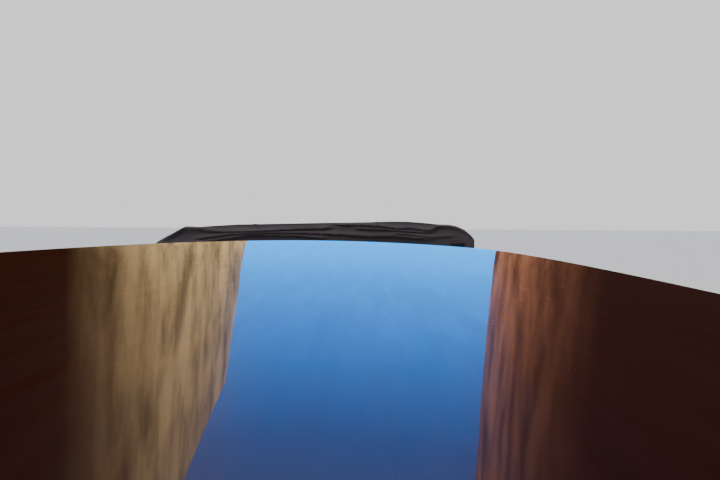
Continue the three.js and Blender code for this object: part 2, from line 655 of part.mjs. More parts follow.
// The decks between two stations, raised by the gap that a piece standing on them keeps
function decksUnder(y0, y1) {
  const side = deckPart(2, y0, Math.min(y1, FOREDECK_Y), WELL_HALF + GAP).translate(0, 0, GAP);
  const decks = [side, mirrored(side)];
  if (y1 > FOREDECK_Y) decks.push(deckPart(8, FOREDECK_Y, y1, null).translate(0, 0, GAP));
  return decks;
}

// Windscreen: a frame of posts, head and sill round one run of glass, folded at the posts
const SCREEN = [
  // foot x, foot y, head x, head y, head z, from the middle post to the aft end of a wing
  [0, 2072, 0, 1850, 1578],
  [730, 2032, 700, 1822, 1566],
  [880, 1890, 858, 1712, 1530],
  [905, 1330, 882, 1216, 1490],
];
const FRAME_BAR = 38;
const FRAME_FOOT = 20;
const SILL_LIFT = 12;
const SCREEN_GLASS = { half: 3, groove: 3.5, end: 0.028, grooveEnd: 0.02, inset: 1 };
const SCREEN_DECKS = [900, 2400];
function screenPosts() {
  const half = SCREEN.map(([fx, fy, hx, hy, hz]) => ({
    foot: V(fx, fy, deckZ(fx, fy)), head: V(hx, hy, hz),
  }));
  const flip = (p) => V(-p.x, p.y, p.z);
  const port = half.slice(1).reverse().map(({ foot, head }) => ({ foot: flip(foot), head: flip(head) }));
  return [...port, ...half];
}
function glassRun(posts, half, end, inset) {
  const out = posts.map((_, k) => {
    const a = posts[Math.max(0, k - 1)].foot;
    const b = posts[Math.min(posts.length - 1, k + 1)].foot;
    return V(a.y - b.y, b.x - a.x, 0).normalize();
  });
  const at = (u, v, side) => {
    const k = Math.round(u * (posts.length - 1));
    const { foot, head } = posts[k];
    const p = foot.clone().lerp(head, mix(end, 1 - end * 0.6, v));
    if (k === 0 || k === posts.length - 1) p.y += inset;
    return p.addScaledVector(out[k], side * half).toArray();
  };
  return slab(posts.length - 1, 1, (u, v) => at(u, v, 1), (u, v) => at(u, v, -1));
}
function addWindscreen() {
  const posts = screenPosts();
  const bars = [];
  const reach = FRAME_BAR / 2 - 2;
  posts.forEach(({ foot, head }, k) => {
    bars.push(bar(foot.clone().add(V(0, 0, -FRAME_FOOT)), head, FRAME_BAR, FRAME_BAR));
    if (!k) return;
    for (const end of ["foot", "head"]) {
      const a = posts[k - 1][end].clone();
      const b = posts[k][end].clone();
      const lift = end === "foot" ? SILL_LIFT : 0;
      const run = b.clone().sub(a).normalize().multiplyScalar(reach);
      bars.push(bar(a.sub(run).add(V(0, 0, lift)), b.add(run).add(V(0, 0, lift)), FRAME_BAR, FRAME_BAR + lift));
    }
  });
  const { half, groove, end, grooveEnd, inset } = SCREEN_GLASS;
  const slot = glassRun(posts, groove, grooveEnd, 0);
  const frame = cut(join(...bars), ...decksUnder(...SCREEN_DECKS), slot, overHood(), hoodSkirt(GAP));
  add("windscreen_frame", frame, varnish);
  add("windscreen_glass", glassRun(posts, half, end, inset), clearGlass);
}

// Canvas spray hood: laced to the windscreen's head, carried at its open end by a steel bow, and with a slack
// skirt hanging from that end down to a level hem
const HOOD = {
  aftY: 1203, half: 900, crownZ: 1662, shoulder: 0.8, fall: 22, drop: 127, cloth: 7,
  overHead: 26, flare: 20, belly: 12, hemZ: 1504, skirtBelly: 20,
};
const HOOD_SEAT = FRAME_BAR / 2 + HOOD.cloth - 3;
const overShoulder = (a) => clamp((a - HOOD.shoulder) / (1 - HOOD.shoulder));
function hoodAft(s) {
  const a = Math.abs(s);
  const z = HOOD.crownZ - HOOD.fall * Math.min(1, a / HOOD.shoulder) ** 2 - HOOD.drop * overShoulder(a) ** 1.5;
  return V(HOOD.half * s, HOOD.aftY, z);
}
function hoodFore(s) {
  const heads = SCREEN.slice(0, 3).map(([, , hx, hy, hz]) => V(hx, hy, hz));
  const a = Math.abs(s);
  const k = a > HOOD.shoulder ? 1 : 0;
  const stops = [0, HOOD.shoulder, 1];
  const p = heads[k].clone().lerp(heads[k + 1], (a - stops[k]) / (stops[k + 1] - stops[k]));
  return V(Math.sign(s) * (p.x + HOOD.flare * overShoulder(a)), p.y + HOOD.overHead, p.z + HOOD_SEAT);
}
const hoodAt = (u, v, sink) => {
  const s = mix(-1, 1, u);
  const p = hoodAft(s).lerp(hoodFore(s), v);
  const belly = HOOD.belly * Math.sin(Math.PI * v) * (1 - s ** 4);
  return [p.x, p.y, p.z + belly - sink];
};
const HOOD_GRID = [20, 5];
const CLEAR_ABOVE = 60;
const hoodSlab = (high, low) =>
  slab(...HOOD_GRID, (u, v) => hoodAt(u, v, high), (u, v) => hoodAt(u, v, low));
const overHood = () => hoodSlab(-CLEAR_ABOVE, HOOD.cloth + GAP);
const SKIRT_GRID = [20, 4];
const SKIRT_TUCK = 2;
function hoodSkirt(grow) {
  const at = (u, v, y) => {
    const s = mix(-1, 1, u);
    const edge = hoodAft(s);
    const belly = HOOD.skirtBelly * Math.sin(Math.PI * v) * (1 - s ** 4);
    return [edge.x * (1 + grow / HOOD.half), edge.y + y - belly, mix(edge.z - SKIRT_TUCK, HOOD.hemZ - grow, v)];
  };
  return slab(...SKIRT_GRID, (u, v) => at(u, v, -grow), (u, v) => at(u, v, HOOD.cloth + grow));
}

const BOW = { r: 9, footX: 868, footY: 1320, reach: 0.92, ahead: 18, under: 14, steps: 6 };
function addHood() {
  add("canvas_hood", join(hoodSlab(0, HOOD.cloth), hoodSkirt(0)), canvas);

  const { r, footX, footY, reach, ahead, under, steps } = BOW;
  const foot = V(footX, footY, deckZ(footX, footY));
  const path = [];
  for (let k = -steps; k <= steps; k++) path.push(hoodAft((k * reach) / steps).add(V(0, ahead, -under)));
  const bow = tube([V(-foot.x, foot.y, foot.z), ...path, foot], r);
  add("hood_bow", cut(bow, ...decksUnder(SCREEN_DECKS[0], FOREDECK_Y), overHood(), hoodSkirt(GAP)), steel);
}

// Doors: one leaf forward, hinged to starboard, and two leaves aft, each with a window in its upper half
const LEAF_GAP = 5;
const LEAF_THICK = 28;
const DOOR_SILL = 8;
const STILE = 62;
const LEAF_LIGHT = { drop: 20, corner: 40 };
function leaf(x0, x1, y0, lowZ) {
  const y1 = y0 + LEAF_THICK;
  const topZ = DOOR_TOP_Z - LEAF_GAP;
  const outline = [[x0, lowZ], [x1, lowZ], [x1, topZ], [x0, topZ]];
  const light = [x0 + STILE, x1 - STILE, WINDOW_LOW_Z, WINDOW_HIGH_Z - LEAF_LIGHT.drop, LEAF_LIGHT.corner];
  return [
    plateAcross(outlineOf(outline, [roundedHole(...light)]), y0, y1),
    paneAcross(...light, y0, y1),
  ];
}
function addDoors() {
  const foreY = CABIN_FORE_Y - LEAF_THICK;
  const hinged = DOORWAY_HALF - HINGE_GAP;
  const [foreLeaf, forePane] = leaf(LEAF_GAP - DOORWAY_HALF, hinged, foreY, HELM_SOLE_Z + DOOR_SILL);
  add("fore_door", foreLeaf, varnish);
  add("fore_door_glass", forePane, clearGlass);
  const [aftLeaf, aftPane] = leaf(LEAF_GAP / 2, hinged, CABIN_AFT_Y, AFT_SOLE_Z + DOOR_SILL);
  addPair("aft_door", aftLeaf, varnish);
  addPair("aft_door_glass", aftPane, clearGlass);
}

// Grab rails along the cabin sides, over the windows
const GRAB_RAIL = { out: 40, z: 1468, short: 120, r: 11, posts: 5, overhang: 40, postWide: 22, postThick: 14 };
function addGrabRails() {
  const { out, z, short, r, posts, overhang, postWide, postThick } = GRAB_RAIL;
  const x = WELL_HALF + out;
  const [y0, y1] = [CABIN_AFT_Y + short, CABIN_FORE_Y - short];
  const parts = [rod(V(x, y0, z), V(x, y1, z), r)];
  for (let k = 0; k < posts; k++) {
    const y = mix(y0 + overhang, y1 - overhang, k / (posts - 1));
    parts.push(bar(V(WELL_HALF + GAP, y, z), V(x, y, z), postWide, postThick));
  }
  addPair("grab_rail", join(...parts), steel);
}

// Mooring fittings: a crossed bitt on the foredeck and two cleats on the aft deck, each square to the deck
const SEAT_SPAN = 40;
const SEAT_SINK = 2;
function seated(geometry, x, y, deck) {
  const slopeY = (deckZ(x, y + SEAT_SPAN) - deckZ(x, y - SEAT_SPAN)) / (2 * SEAT_SPAN);
  const slopeX = (deckZ(x + SEAT_SPAN, y) - deckZ(x - SEAT_SPAN, y)) / (2 * SEAT_SPAN);
  const turn = new THREE.Quaternion().setFromUnitVectors(V(0, 0, 1), V(-slopeX, -slopeY, 1).normalize());
  const place = new THREE.Matrix4().compose(V(x, y, deckZ(x, y) - SEAT_SINK), turn, V(1, 1, 1));
  return cut(geometry.clone().applyMatrix4(place), deck.translate(0, 0, GAP));
}
const post = (r0, r1, height, sides) =>
  new THREE.CylinderGeometry(r1, r0, height, sides).rotateX(Math.PI / 2).translate(0, 0, height / 2);
const BITT_Y = 3700;
const STERN_CLEAT = { x: 640, y: -4220 };
function addMooring() {
  const bitt = join(
    post(70, 66, 14, 20), post(30, 26, 150, 14),
    rod(V(-115, 0, 108), V(115, 0, 108), 15, 15, 10), post(30, 30, 10, 14).translate(0, 0, 146),
  );
  add("bow_bitt", seated(bitt, 0, BITT_Y, deckPart(8, FOREDECK_Y, STEM_Y, null)), steel);

  const foot = new THREE.BoxGeometry(44, 150, 12).translate(0, 0, 6);
  const posts = [-38, 38].map((y) => post(14, 11, 46, 8).translate(0, y, 4));
  const cleat = join(foot, ...posts, rod(V(0, -125, 48), V(0, 125, 48), 12, 12, 8));
  for (const [side, sign] of [["starboard", 1], ["port", -1]]) {
    const deck = deckPart(8, TRANSOM_Y, AFT_WELL_Y, null);
    add(`stern_cleat_${side}`, seated(cleat, STERN_CLEAT.x * sign, STERN_CLEAT.y, deck), steel);
  }
}

// Stern staff in its socket, with the stern light on its head
const STAFF = { y: -4335, rake: 85, tall: 820, r: 15, headR: 11, socket: 60, light: 30 };
function addStaff() {
  const { y, rake, tall, r, headR, light } = STAFF;
  const foot = V(0, y, deckZ(0, y) - SEAT_SINK);
  const head = V(0, y - rake, foot.z + tall);
  const socket = post(34, 26, STAFF.socket, 12).translate(foot.x, foot.y, foot.z);
  const lamp = new THREE.SphereGeometry(light, 10, 8).translate(head.x, head.y, head.z + 18);
  const start = foot.clone().lerp(head, 0.02);
  const deck = deckPart(8, TRANSOM_Y, AFT_WELL_Y, null).translate(0, 0, GAP);
  add("stern_staff", cut(join(socket, rod(start, head, r, headR), lamp), deck), varnish);
}

// Engine: one block on its two beds, under the aft deck
const ENGINE = { half: 290, y0: -4180, y1: -3560, z0: -140, z1: 480, bedX: 330, bed: 60 };
function addEngine() {
  const { half, y0, y1, z0, z1, bedX, bed } = ENGINE;
  const body = block([-half, half], [y0, y1], [z0, z1]);
  const foot = Math.max(bottomInsideZ(bedX, y0), bottomInsideZ(bedX, y1)) + GAP;
  const beds = [[bedX - bed, bedX], [-bedX, bed - bedX]].map((x) => block(x, [y0, y1], [foot, z0 + bed]));
  add("engine", join(body, ...beds), ironPaint);
}

// Running gear: shaft and propeller on one axis, its strut, and the rudder behind them
const SHAFT = { r: 17, foreY: KEEL.aftY - 2.5, foreZ: -475, hubY: -3890, hubZ: -562 };
const shaftAt = (y) =>
  V(0, y, mix(SHAFT.foreZ, SHAFT.hubZ, (y - SHAFT.foreY) / (SHAFT.hubY - SHAFT.foreY)));
const PROPELLER = { r: 178, hub: 42, length: 120, blades: 3, root: 36, chord: 96, pitch: 150, skew: 0.25 };
function blade() {
  const surface = (side) => (u, v) => {
    const r = mix(PROPELLER.root, PROPELLER.r, v);
    const width = PROPELLER.chord * Math.sqrt(Math.sin(Math.PI * mix(0.28, 0.985, v))) * (0.7 + 0.45 * v);
    const pitch = Math.atan2(PROPELLER.pitch, 2 * r);
    const across = (u - 0.5) * width;
    const thick = mix(9, 3, v) * (1 - (2 * u - 1) ** 2) + 1.2;
    const skew = PROPELLER.skew * v * v;
    const angle = (across * Math.cos(pitch)) / r + skew;
    const axial = across * Math.sin(pitch) + (side * thick) / 2;
    return [r * Math.cos(angle), axial, r * Math.sin(angle)];
  };
  return slab(6, 5, surface(1), surface(-1));
}
function addPropeller() {
  const hub = new THREE.CylinderGeometry(PROPELLER.hub - 14, PROPELLER.hub, PROPELLER.length, 16);
  hub.rotateZ(Math.PI);
  const cap = new THREE.SphereGeometry(PROPELLER.hub - 13, 12, 8).translate(0, -PROPELLER.length / 2, 0);
  const blades = [];
  for (let k = 0; k < PROPELLER.blades; k++)
    blades.push(blade().rotateY((k * 2 * Math.PI) / PROPELLER.blades));
  const aft = shaftAt(SHAFT.hubY);
  const slope = Math.atan2(SHAFT.foreZ - SHAFT.hubZ, SHAFT.foreY - SHAFT.hubY);
  const mesh = add("propeller", join(hub, cap, ...blades), bronze);
  mesh.position.copy(aft);
  mesh.rotation.x = slope;

  const shaftEnd = SHAFT.hubY + PROPELLER.length / 2 + 0.6;
  add("propeller_shaft", rod(shaftAt(SHAFT.foreY), shaftAt(shaftEnd), SHAFT.r, SHAFT.r, 12), steel);
}
const STRUT = { y: -3740, halfLength: 55, r: 34, bore: 19, thick: 16, armDeep: 74, aft: 60, fore: 100, pad: 22 };
function addStrut() {
  const { y, halfLength, r, bore, thick, armDeep, aft, fore, pad } = STRUT;
  const barrel = rod(shaftAt(y + halfLength), shaftAt(y - halfLength), r, r, 16);
  const hole = rod(shaftAt(y + 2 * halfLength), shaftAt(y - 2 * halfLength), bore, bore, 16);
  const armTop = V(0, y + 20, keelZ(y) - 12);
  const arm = bar(shaftAt(y), armTop, thick, armDeep, V(0, 1, 0));
  const under = (z) => [[y - aft, keelZ(y - aft) - z], [y + fore, keelZ(y + fore) - z]];
  const plate = plateAlong(outlineOf([...under(pad), ...under(0.6).reverse()]), -14, 14);
  add("shaft_strut", cut(join(barrel, arm, plate), hole), bronze);
}

const RUDDER = { stockY: -4130, foot: -740, head: -385, fore: 62, aft: 190, half: 12 };
function addRudder() {
  const { stockY, foot, head, fore, aft, half } = RUDDER;
  const section = (z, k) => {
    const f = fore * k;
    const b = aft * k;
    return [
      [0, stockY + f, z], [half, stockY + f * 0.4, z], [half * 0.9, stockY - b * 0.3, z],
      [2, stockY - b, z], [-2, stockY - b, z], [-half * 0.9, stockY - b * 0.3, z], [-half, stockY + f * 0.4, z],
    ];
  };
  const blade = sweep([section(foot, 0.8), section(foot + 60, 0.95), section(head - 60, 1), section(head, 0.9)]);
  const stock = rod(V(0, stockY, head - 200), V(0, stockY, keelZ(stockY) - 0.8), 16, 16, 12);
  add("rudder", join(blade, stock), bronze);
}

addHull();
addKeelAndStem();
addDecks();
addRubRails();
addCabinSides();
addBulkhead("fore_bulkhead", CABIN_FORE_Y - WALL, CABIN_FORE_Y, HELM_SOLE_Z);
addBulkhead("aft_bulkhead", CABIN_AFT_Y, CABIN_AFT_Y + WALL, AFT_SOLE_Z);
addRoof();
addSoles();
addCoamings();
addCabinSeats();
addAftSeats();
addHelmSeat();
addSteps();
addConsole();
addSteeringWheel();
addWindscreen();
addHood();
addDoors();
addGrabRails();
addMooring();
addStaff();
addEngine();
addPropeller();
addStrut();
addRudder();

export default boat;
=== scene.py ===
import math

import bmesh
import bpy
from bpy.props import FloatProperty, FloatVectorProperty, IntProperty, PointerProperty
from bpy.types import Operator, Panel, PropertyGroup
from mathutils import Matrix, Vector


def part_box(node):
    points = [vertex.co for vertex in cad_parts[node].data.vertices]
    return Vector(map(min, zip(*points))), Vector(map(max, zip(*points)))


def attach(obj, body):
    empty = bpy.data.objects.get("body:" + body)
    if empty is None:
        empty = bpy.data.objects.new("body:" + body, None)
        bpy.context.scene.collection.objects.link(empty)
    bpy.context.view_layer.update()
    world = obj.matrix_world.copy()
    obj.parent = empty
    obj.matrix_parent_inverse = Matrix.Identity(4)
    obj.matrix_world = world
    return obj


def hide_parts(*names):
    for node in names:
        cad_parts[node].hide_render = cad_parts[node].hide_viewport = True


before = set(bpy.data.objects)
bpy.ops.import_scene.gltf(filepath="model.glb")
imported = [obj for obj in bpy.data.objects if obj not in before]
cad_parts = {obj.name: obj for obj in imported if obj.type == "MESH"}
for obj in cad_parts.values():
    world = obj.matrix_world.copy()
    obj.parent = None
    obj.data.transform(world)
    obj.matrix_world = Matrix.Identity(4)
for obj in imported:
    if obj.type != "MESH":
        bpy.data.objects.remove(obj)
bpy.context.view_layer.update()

bl_info = {
    "name": "Cabin water taxi",
    "version": (1, 0, 0),
    "blender": (4, 5, 0),
    "location": "View3D > Sidebar > Water taxi",
    "description": "Dresses the packed water taxi with its finishes, cushions, canvas and fittings",
    "category": "Object",
}

# The boat's lines, in metres: +Y runs forward, +X to starboard, +Z up, and the waterline is at z = 0
TRANSOM_Y, STEM_Y = -4.4, 4.6
STEM_HALF, STEM_INNER = 0.028, 0.0254
PLANK, BOTTOM_PLANK = 0.035, 0.04
GAP = 0.0004
DECK_EDGE, DECK_CAMBER, COVERING_BOARD = 0.028, 0.06, 0.125
WELL_HALF, LINING_HALF, WALL = 0.785, 0.755, 0.03
AFT_WELL_Y, CABIN_AFT_Y, CABIN_FORE_Y, FOREDECK_Y = -3.45, -2.05, 0.715, 1.95
CABIN_SOLE_Z, AFT_SOLE_Z, HELM_SOLE_Z = 0.025, 0.15, 0.4
ROOF_MID_Y, ROOF_HALF_LENGTH, ROOF_HALF = -0.684, 1.466, 0.84
ROOF_THICK = 0.04
DOOR_TOP_Z, WINDOW_LOW_Z, WINDOW_HIGH_Z, WINDOW_CORNER = 1.48, 0.985, 1.425, 0.07
SIDE_WINDOWS = (-1.7, -1.01, -0.32, 0.37)
SIDE_WINDOW_HALF = 0.3
END_WINDOWS = ((0.385, 0.695), (-0.695, -0.385))
LINING_ENDS = (-2.019, 0.684)
DOORWAY_HALF = 0.32
# The door trim's two edges, out from the doorway: it stands back, so that the hinges swing clear of it
TRIM_EDGES = (0.01, 0.034)
SIDES = (("starboard", 1), ("port", -1))


def mix(a, b, t):
    return a + (b - a) * t


def clamp(t):
    return min(1.0, max(0.0, t))


def spread(a, b, count):
    """Even steps from a to b, with both ends."""
    return [mix(a, b, k / count) for k in range(count + 1)]


def between(a, b, share):
    """A tone or a point that lies between two others."""
    return [mix(p, q, share) for p, q in zip(a, b)]


def tinted(tone, share):
    return [c * share for c in tone]


def sheer_z(y):
    return 0.64 + 0.32 * (max(0.0, y + 2.6) / 7.2) ** 2


def sheer_x(y):
    if y < 0:
        return mix(1.05, 0.92, (y / TRANSOM_Y) ** 2)
    return mix(STEM_HALF, 1.05, max(0.0, 1 - (y / STEM_Y) ** 3) ** 0.8)


def chine_x(y):
    if y < 0:
        return mix(0.9, 0.83, (y / TRANSOM_Y) ** 2)
    return mix(STEM_HALF, 0.9, max(0.0, 1 - (y / STEM_Y) ** 2.2))


def chine_z(y):
    return -0.09 + (0.54 * (y / STEM_Y) ** 2.4 if y > 0 else 0)


def keel_z(y):
    return -0.37 + 0.04 * clamp((-1.5 - y) / 2.9)


def bow_weight(y):
    return clamp((y - 2.4) / 2.2) ** 2


def side_point(y, t):
    """A point of the topsides, t from the chine to the sheer."""
    flare = mix(0.8, 1.5, clamp(y / STEM_Y))
    x = mix(chine_x(y), sheer_x(y), t**flare)
    return x, y - 0.27 * (1 - t) * bow_weight(y), mix(chine_z(y), sheer_z(y), t)


def bottom_point(y, t):
    """A point of the bottom, t from the keel to the chine."""
    w = bow_weight(y)
    turn = t * math.pi / 2
    rise = mix(t, 1 - math.cos(turn), w)
    return chine_x(y) * t, y - 0.27 * w - 0.6 * w * (1 - math.sin(turn)), mix(keel_z(y), chine_z(y), rise)


def deck_z(x, y):
    return sheer_z(y) + DECK_EDGE + DECK_CAMBER * (1 - (x / sheer_x(y)) ** 2)


def roof_z(x, y):
    return 1.6 - x**2 / 21.2 - (y + 0.85) ** 2 / 96


def roof_half(y):
    """The roof's half width: parallel, with a slight taper forward and round corners."""
    from_mid = (y - ROOF_MID_Y) / ROOF_HALF_LENGTH
    into_corner = clamp((abs(y - ROOF_MID_Y) - ROOF_HALF_LENGTH + 0.09) / 0.09)
    return ROOF_HALF - 0.037 * max(0.0, from_mid) ** 3 - 0.09 * (1 - math.sqrt(1 - into_corner**2))


def roof_point(s, t, inset=0.0, drop=0.0):
    """A point of the roof, s across it and t along it from -1 to 1; its ends are bowed."""
    y = ROOF_MID_Y + t * (ROOF_HALF_LENGTH - inset)
    x = s * (roof_half(y) - inset)
    end = y - math.copysign(0.062 * abs(t) ** 3, t) * s * s
    return Vector((x, end, roof_z(x, end) - drop))


def station(v, y0=TRANSOM_Y, y1=STEM_Y):
    """Stations crowd towards the stem, where the lines turn fastest."""
    return mix(y0, y1, 1 - (1 - v) ** 1.5)


COLOUR = {"subtype": "COLOR", "min": 0, "max": 1}


class TaxiFinishes(PropertyGroup):
    """Colours of the boat's finishes."""

    mahogany_light: FloatVectorProperty(
        name="Mahogany, light grain", description="Lighter tone of the varnished mahogany",
        default=(0.33, 0.085, 0.026), **COLOUR)
    mahogany_dark: FloatVectorProperty(
        name="Mahogany, dark grain", description="Darker tone of the varnished mahogany",
        default=(0.13, 0.024, 0.008), **COLOUR)
    roof_tone: FloatVectorProperty(
        name="Roof", description="Tone of the dark varnished roof under its gloss",
        default=(0.03, 0.0075, 0.007), **COLOUR)
    seam_tone: FloatVectorProperty(
        name="Deck seams", description="Colour of the caulking between the deck planks",
        default=(0.72, 0.66, 0.5), **COLOUR)
    bottom_tone: FloatVectorProperty(
        name="Bottom paint", description="Colour of the paint below the waterline",
        default=(0.1, 0.016, 0.013), **COLOUR)
    boot_tone: FloatVectorProperty(
        name="Boot stripe", description="Colour of the stripe at the waterline",
        default=(0.78, 0.76, 0.7), **COLOUR)
    leather_tone: FloatVectorProperty(
        name="Leather", description="Colour of the seats",
        default=(0.6, 0.47, 0.31), **COLOUR)
    canvas_tone: FloatVectorProperty(
        name="Canvas", description="Colour of the spray hood",
        default=(0.055, 0.044, 0.05), **COLOUR)


class TaxiSizes(PropertyGroup):
    """Sizes of what the finishes and trim are made of."""

    plank_width: FloatProperty(
        name="Deck plank", description="Width of a deck plank with its seam", unit="LENGTH", default=0.062)
    seam_width: FloatProperty(
        name="Deck seam", description="Width of the caulking between two planks", unit="LENGTH",
        default=0.005)
    boot_height: FloatProperty(
        name="Boot stripe", description="Height of the stripe above the waterline", unit="LENGTH",
        default=0.06)
    frame_width: FloatProperty(
        name="Window frame", description="Width of the frame round a window", unit="LENGTH", default=0.02)
    voxel: FloatProperty(
        name="Cushion mesh", description="Mesh size that cushions are stuffed at", unit="LENGTH",
        default=0.016)
    fold_depth: FloatProperty(
        name="Hood folds", description="Depth of the slack folds of the hood", unit="LENGTH", default=0.018)


class TaxiStage(PropertyGroup):
    """Light, floor and camera."""

    key_strength: FloatProperty(
        name="Key light", description="Strength of the key light, in watts a square metre", default=2.7)
    fill_strength: FloatProperty(
        name="Fill lights", description="Strength of each fill light, in watts a square metre", default=0.6)
    softness: FloatProperty(
        name="Softness", description="Angle that the key light spreads over", unit="ROTATION", default=0.5)
    floor_tone: FloatVectorProperty(
        name="Floor", description="Colour of the floor", default=(0.78, 0.77, 0.75), **COLOUR)
    lens: FloatProperty(name="Lens", description="Focal length of the camera", unit="CAMERA", default=27.43)
    stuffing_frames: IntProperty(
        name="Stuffing frames", description="Frames that a cushion's stuffing is worked for", default=20)


# Meshes

def surface(across, along, place):
    """A sheet of quads, each point placed by its shares across and along, from 0 to 1."""
    bm = bmesh.new()
    bmesh.ops.create_grid(bm, x_segments=across, y_segments=along, size=0.5)
    for v in bm.verts:
        v.co = Vector(place(v.co.x + 0.5, v.co.y + 0.5))
    return bm


def drawn_out(bm):
    """Extrudes a whole sheet, and gives the corners of its new side."""
    made = bmesh.ops.extrude_face_region(bm, geom=bm.faces[:])["geom"]
    return [v for v in made if isinstance(v, bmesh.types.BMVert)]


def shell(across, along, outer, inner):
    """A closed wall between two sheets over the same shares."""
    bm = bmesh.new()
    bmesh.ops.create_grid(bm, x_segments=across, y_segments=along, size=0.5)
    under = set(drawn_out(bm))
    for v in bm.verts:
        v.co = Vector((inner if v in under else outer)(v.co.x + 0.5, v.co.y + 0.5))
    bmesh.ops.remove_doubles(bm, verts=bm.verts[:], dist=1e-5)
    return outward(bm)


def outward(bm):
    bmesh.ops.recalc_face_normals(bm, faces=bm.faces[:])
    return bm


def thicken(bm, depth):
    """Gives a sheet its thickness downwards."""
    bmesh.ops.translate(bm, verts=drawn_out(bm), vec=(0, 0, -depth))
    return outward(bm)


def split_at(bm, axis, *values):
    """Cuts the mesh along planes square to an axis, so that an edge or a colour can follow them."""
    for value in values:
        at, normal = Vector(), Vector()
        at[axis], normal[axis] = value, 1
        geom = bm.verts[:] + bm.edges[:] + bm.faces[:]
        bmesh.ops.bisect_plane(bm, geom=geom, plane_co=at, plane_no=normal, dist=1e-6)
    return bm


def bevel(bm, geom, radius, segments, affect="EDGES", clamped=False):
    bmesh.ops.bevel(
        bm, geom=geom, offset=radius, offset_type="OFFSET", segments=segments, profile=0.5, affect=affect,
        material=-1, clamp_overlap=clamped)


def flat_face(bm, corners):
    return bm.faces.new([bm.verts.new((a, b, 0)) for a, b in corners])


def ring(bm, corners, radius):
    """Draws a closed outline with its corners rounded, and leaves only its edges."""
    face = flat_face(bm, corners)
    if radius:
        bevel(bm, face.verts[:], radius, 8, "VERTICES", True)
    bmesh.ops.delete(bm, geom=bm.faces[:], context="FACES_ONLY")


def stand(bm, kind, at):
    """Puts a flat shape up: along the boat, across it, or lying."""
    for v in bm.verts:
        a, b, c = v.co
        v.co = {"along": (c + at, a, b), "across": (a, c + at, b), "lying": (a, b, c + at)}[kind]
    return outward(bm)


def box_corners(a0, a1, b0, b1):
    return [(a0, b0), (a1, b0), (a1, b1), (a0, b1)]


def plate(corners, depth, kind, at, openings=(), radius=0.0):
    """A panel of even thickness; an opening has two sides, a foot, a head and the radius of its corners."""
    bm = bmesh.new()
    ring(bm, corners, radius)
    for *edges, corner in openings:
        ring(bm, box_corners(*edges), corner)
    bmesh.ops.triangle_fill(bm, edges=bm.edges[:], use_beauty=True)
    bmesh.ops.translate(bm, verts=drawn_out(bm), vec=(0, 0, depth))
    return stand(bm, kind, at)


def slab(low, high, ease=0.0, segments=2):
    """A block with eased edges between its two corners."""
    bm = bmesh.new()
    bmesh.ops.create_cube(bm, size=1)
    low, high = Vector(low), Vector(high)
    bmesh.ops.scale(bm, vec=high - low, verts=bm.verts[:])
    bmesh.ops.translate(bm, vec=(low + high) / 2, verts=bm.verts[:])
    if ease:
        bevel(bm, bm.edges[:], ease, segments)
    return bm


def rounded_section(corners, radius, segments=3):
    """The corners of a section after rounding, in order."""
    bm = bmesh.new()
    bevel(bm, flat_face(bm, corners).verts[:], radius, segments, "VERTICES")
    found = [(v.co.x, v.co.y) for v in bm.faces[:][0].verts]
    bm.free()
    return found


def bar_section(wide, high, radius, segments=3):
    """The section of a bar, from half its width and half its height."""
    return rounded_section(box_corners(-wide, wide, -high, high), radius, segments)


def half_round(out, wide):
    """The section of a half-round strip, from its height and half its width."""
    return [(out * math.sin(a), wide * math.cos(a)) for a in (math.pi * k / 8 for k in range(9))]


def capped(bm, closed=False):
    """Closes the seam of a swept skin, and its ends where it has them."""
    bmesh.ops.remove_doubles(bm, verts=bm.verts[:], dist=1e-6)
    if not closed:
        bmesh.ops.holes_fill(bm, edges=bm.edges[:], sides=0)
    return outward(bm)


def swept(path, section, up=(0, 0, 1), closed=False, scale=None):
    """A section carried along a path, with a given upward direction."""
    path = [Vector(p) for p in path]
    n, m, up = len(section), len(path), Vector(up)
    frames = []
    for k, point in enumerate(path):
        before = path[k - 1] if k or closed else point
        after = path[(k + 1) % m] if k < m - 1 or closed else point
        run = (after - before).normalized()
        side = run.cross(up).normalized()
        frames.append((point, side, side.cross(run)))

    def place(u, v):
        i, k = round(u * n) % n, round(v * (m if closed else m - 1)) % m
        point, side, above = frames[k]
        grow = scale[k] if scale else 1
        return point + side * section[i][0] * grow + above * section[i][1] * grow

    return capped(surface(n, m if closed else m - 1, place), closed)


def disc(radius, sides=16):
    return [(radius * math.cos(a), radius * math.sin(a))
            for a in (2 * math.pi * k / sides for k in range(sides))]


def tube(path, radius, up=(0, 0, 1), closed=False, sides=16, scale=None):
    return swept(path, disc(radius, sides), up, closed, scale)


def turn_to(axis):
    """The turn that takes a shape from upright to an axis."""
    return Vector((0, 0, 1)).rotation_difference(Vector(axis)).to_matrix().to_4x4()


def turned(profile, at=(0, 0, 0), axis=(0, 0, 1), steps=32):
    """A turned shape: its profile of radius and height, spun round an axis."""
    bm = bmesh.new()
    verts = [bm.verts.new((r, 0, z)) for r, z in profile]
    edges = [bm.edges.new(pair) for pair in zip(verts, verts[1:])]
    bmesh.ops.spin(
        bm, geom=verts + edges, cent=(0, 0, 0), axis=(0, 0, 1), angle=2 * math.pi, steps=steps,
        use_merge=True)
    bmesh.ops.remove_doubles(bm, verts=bm.verts[:], dist=1e-6)
    return outward(moved(bm, Matrix.Translation(at) @ turn_to(axis)))


def joined(*parts):
    """Several closed shapes as one piece."""
    whole = parts[0]
    for part in parts[1:]:
        spare = bpy.data.meshes.new("spare")
        part.to_mesh(spare)
        part.free()
        whole.from_mesh(spare)
        bpy.data.meshes.remove(spare)
    return whole


def moved(bm, matrix):
    bmesh.ops.transform(bm, matrix=matrix, verts=bm.verts[:])
    return bm


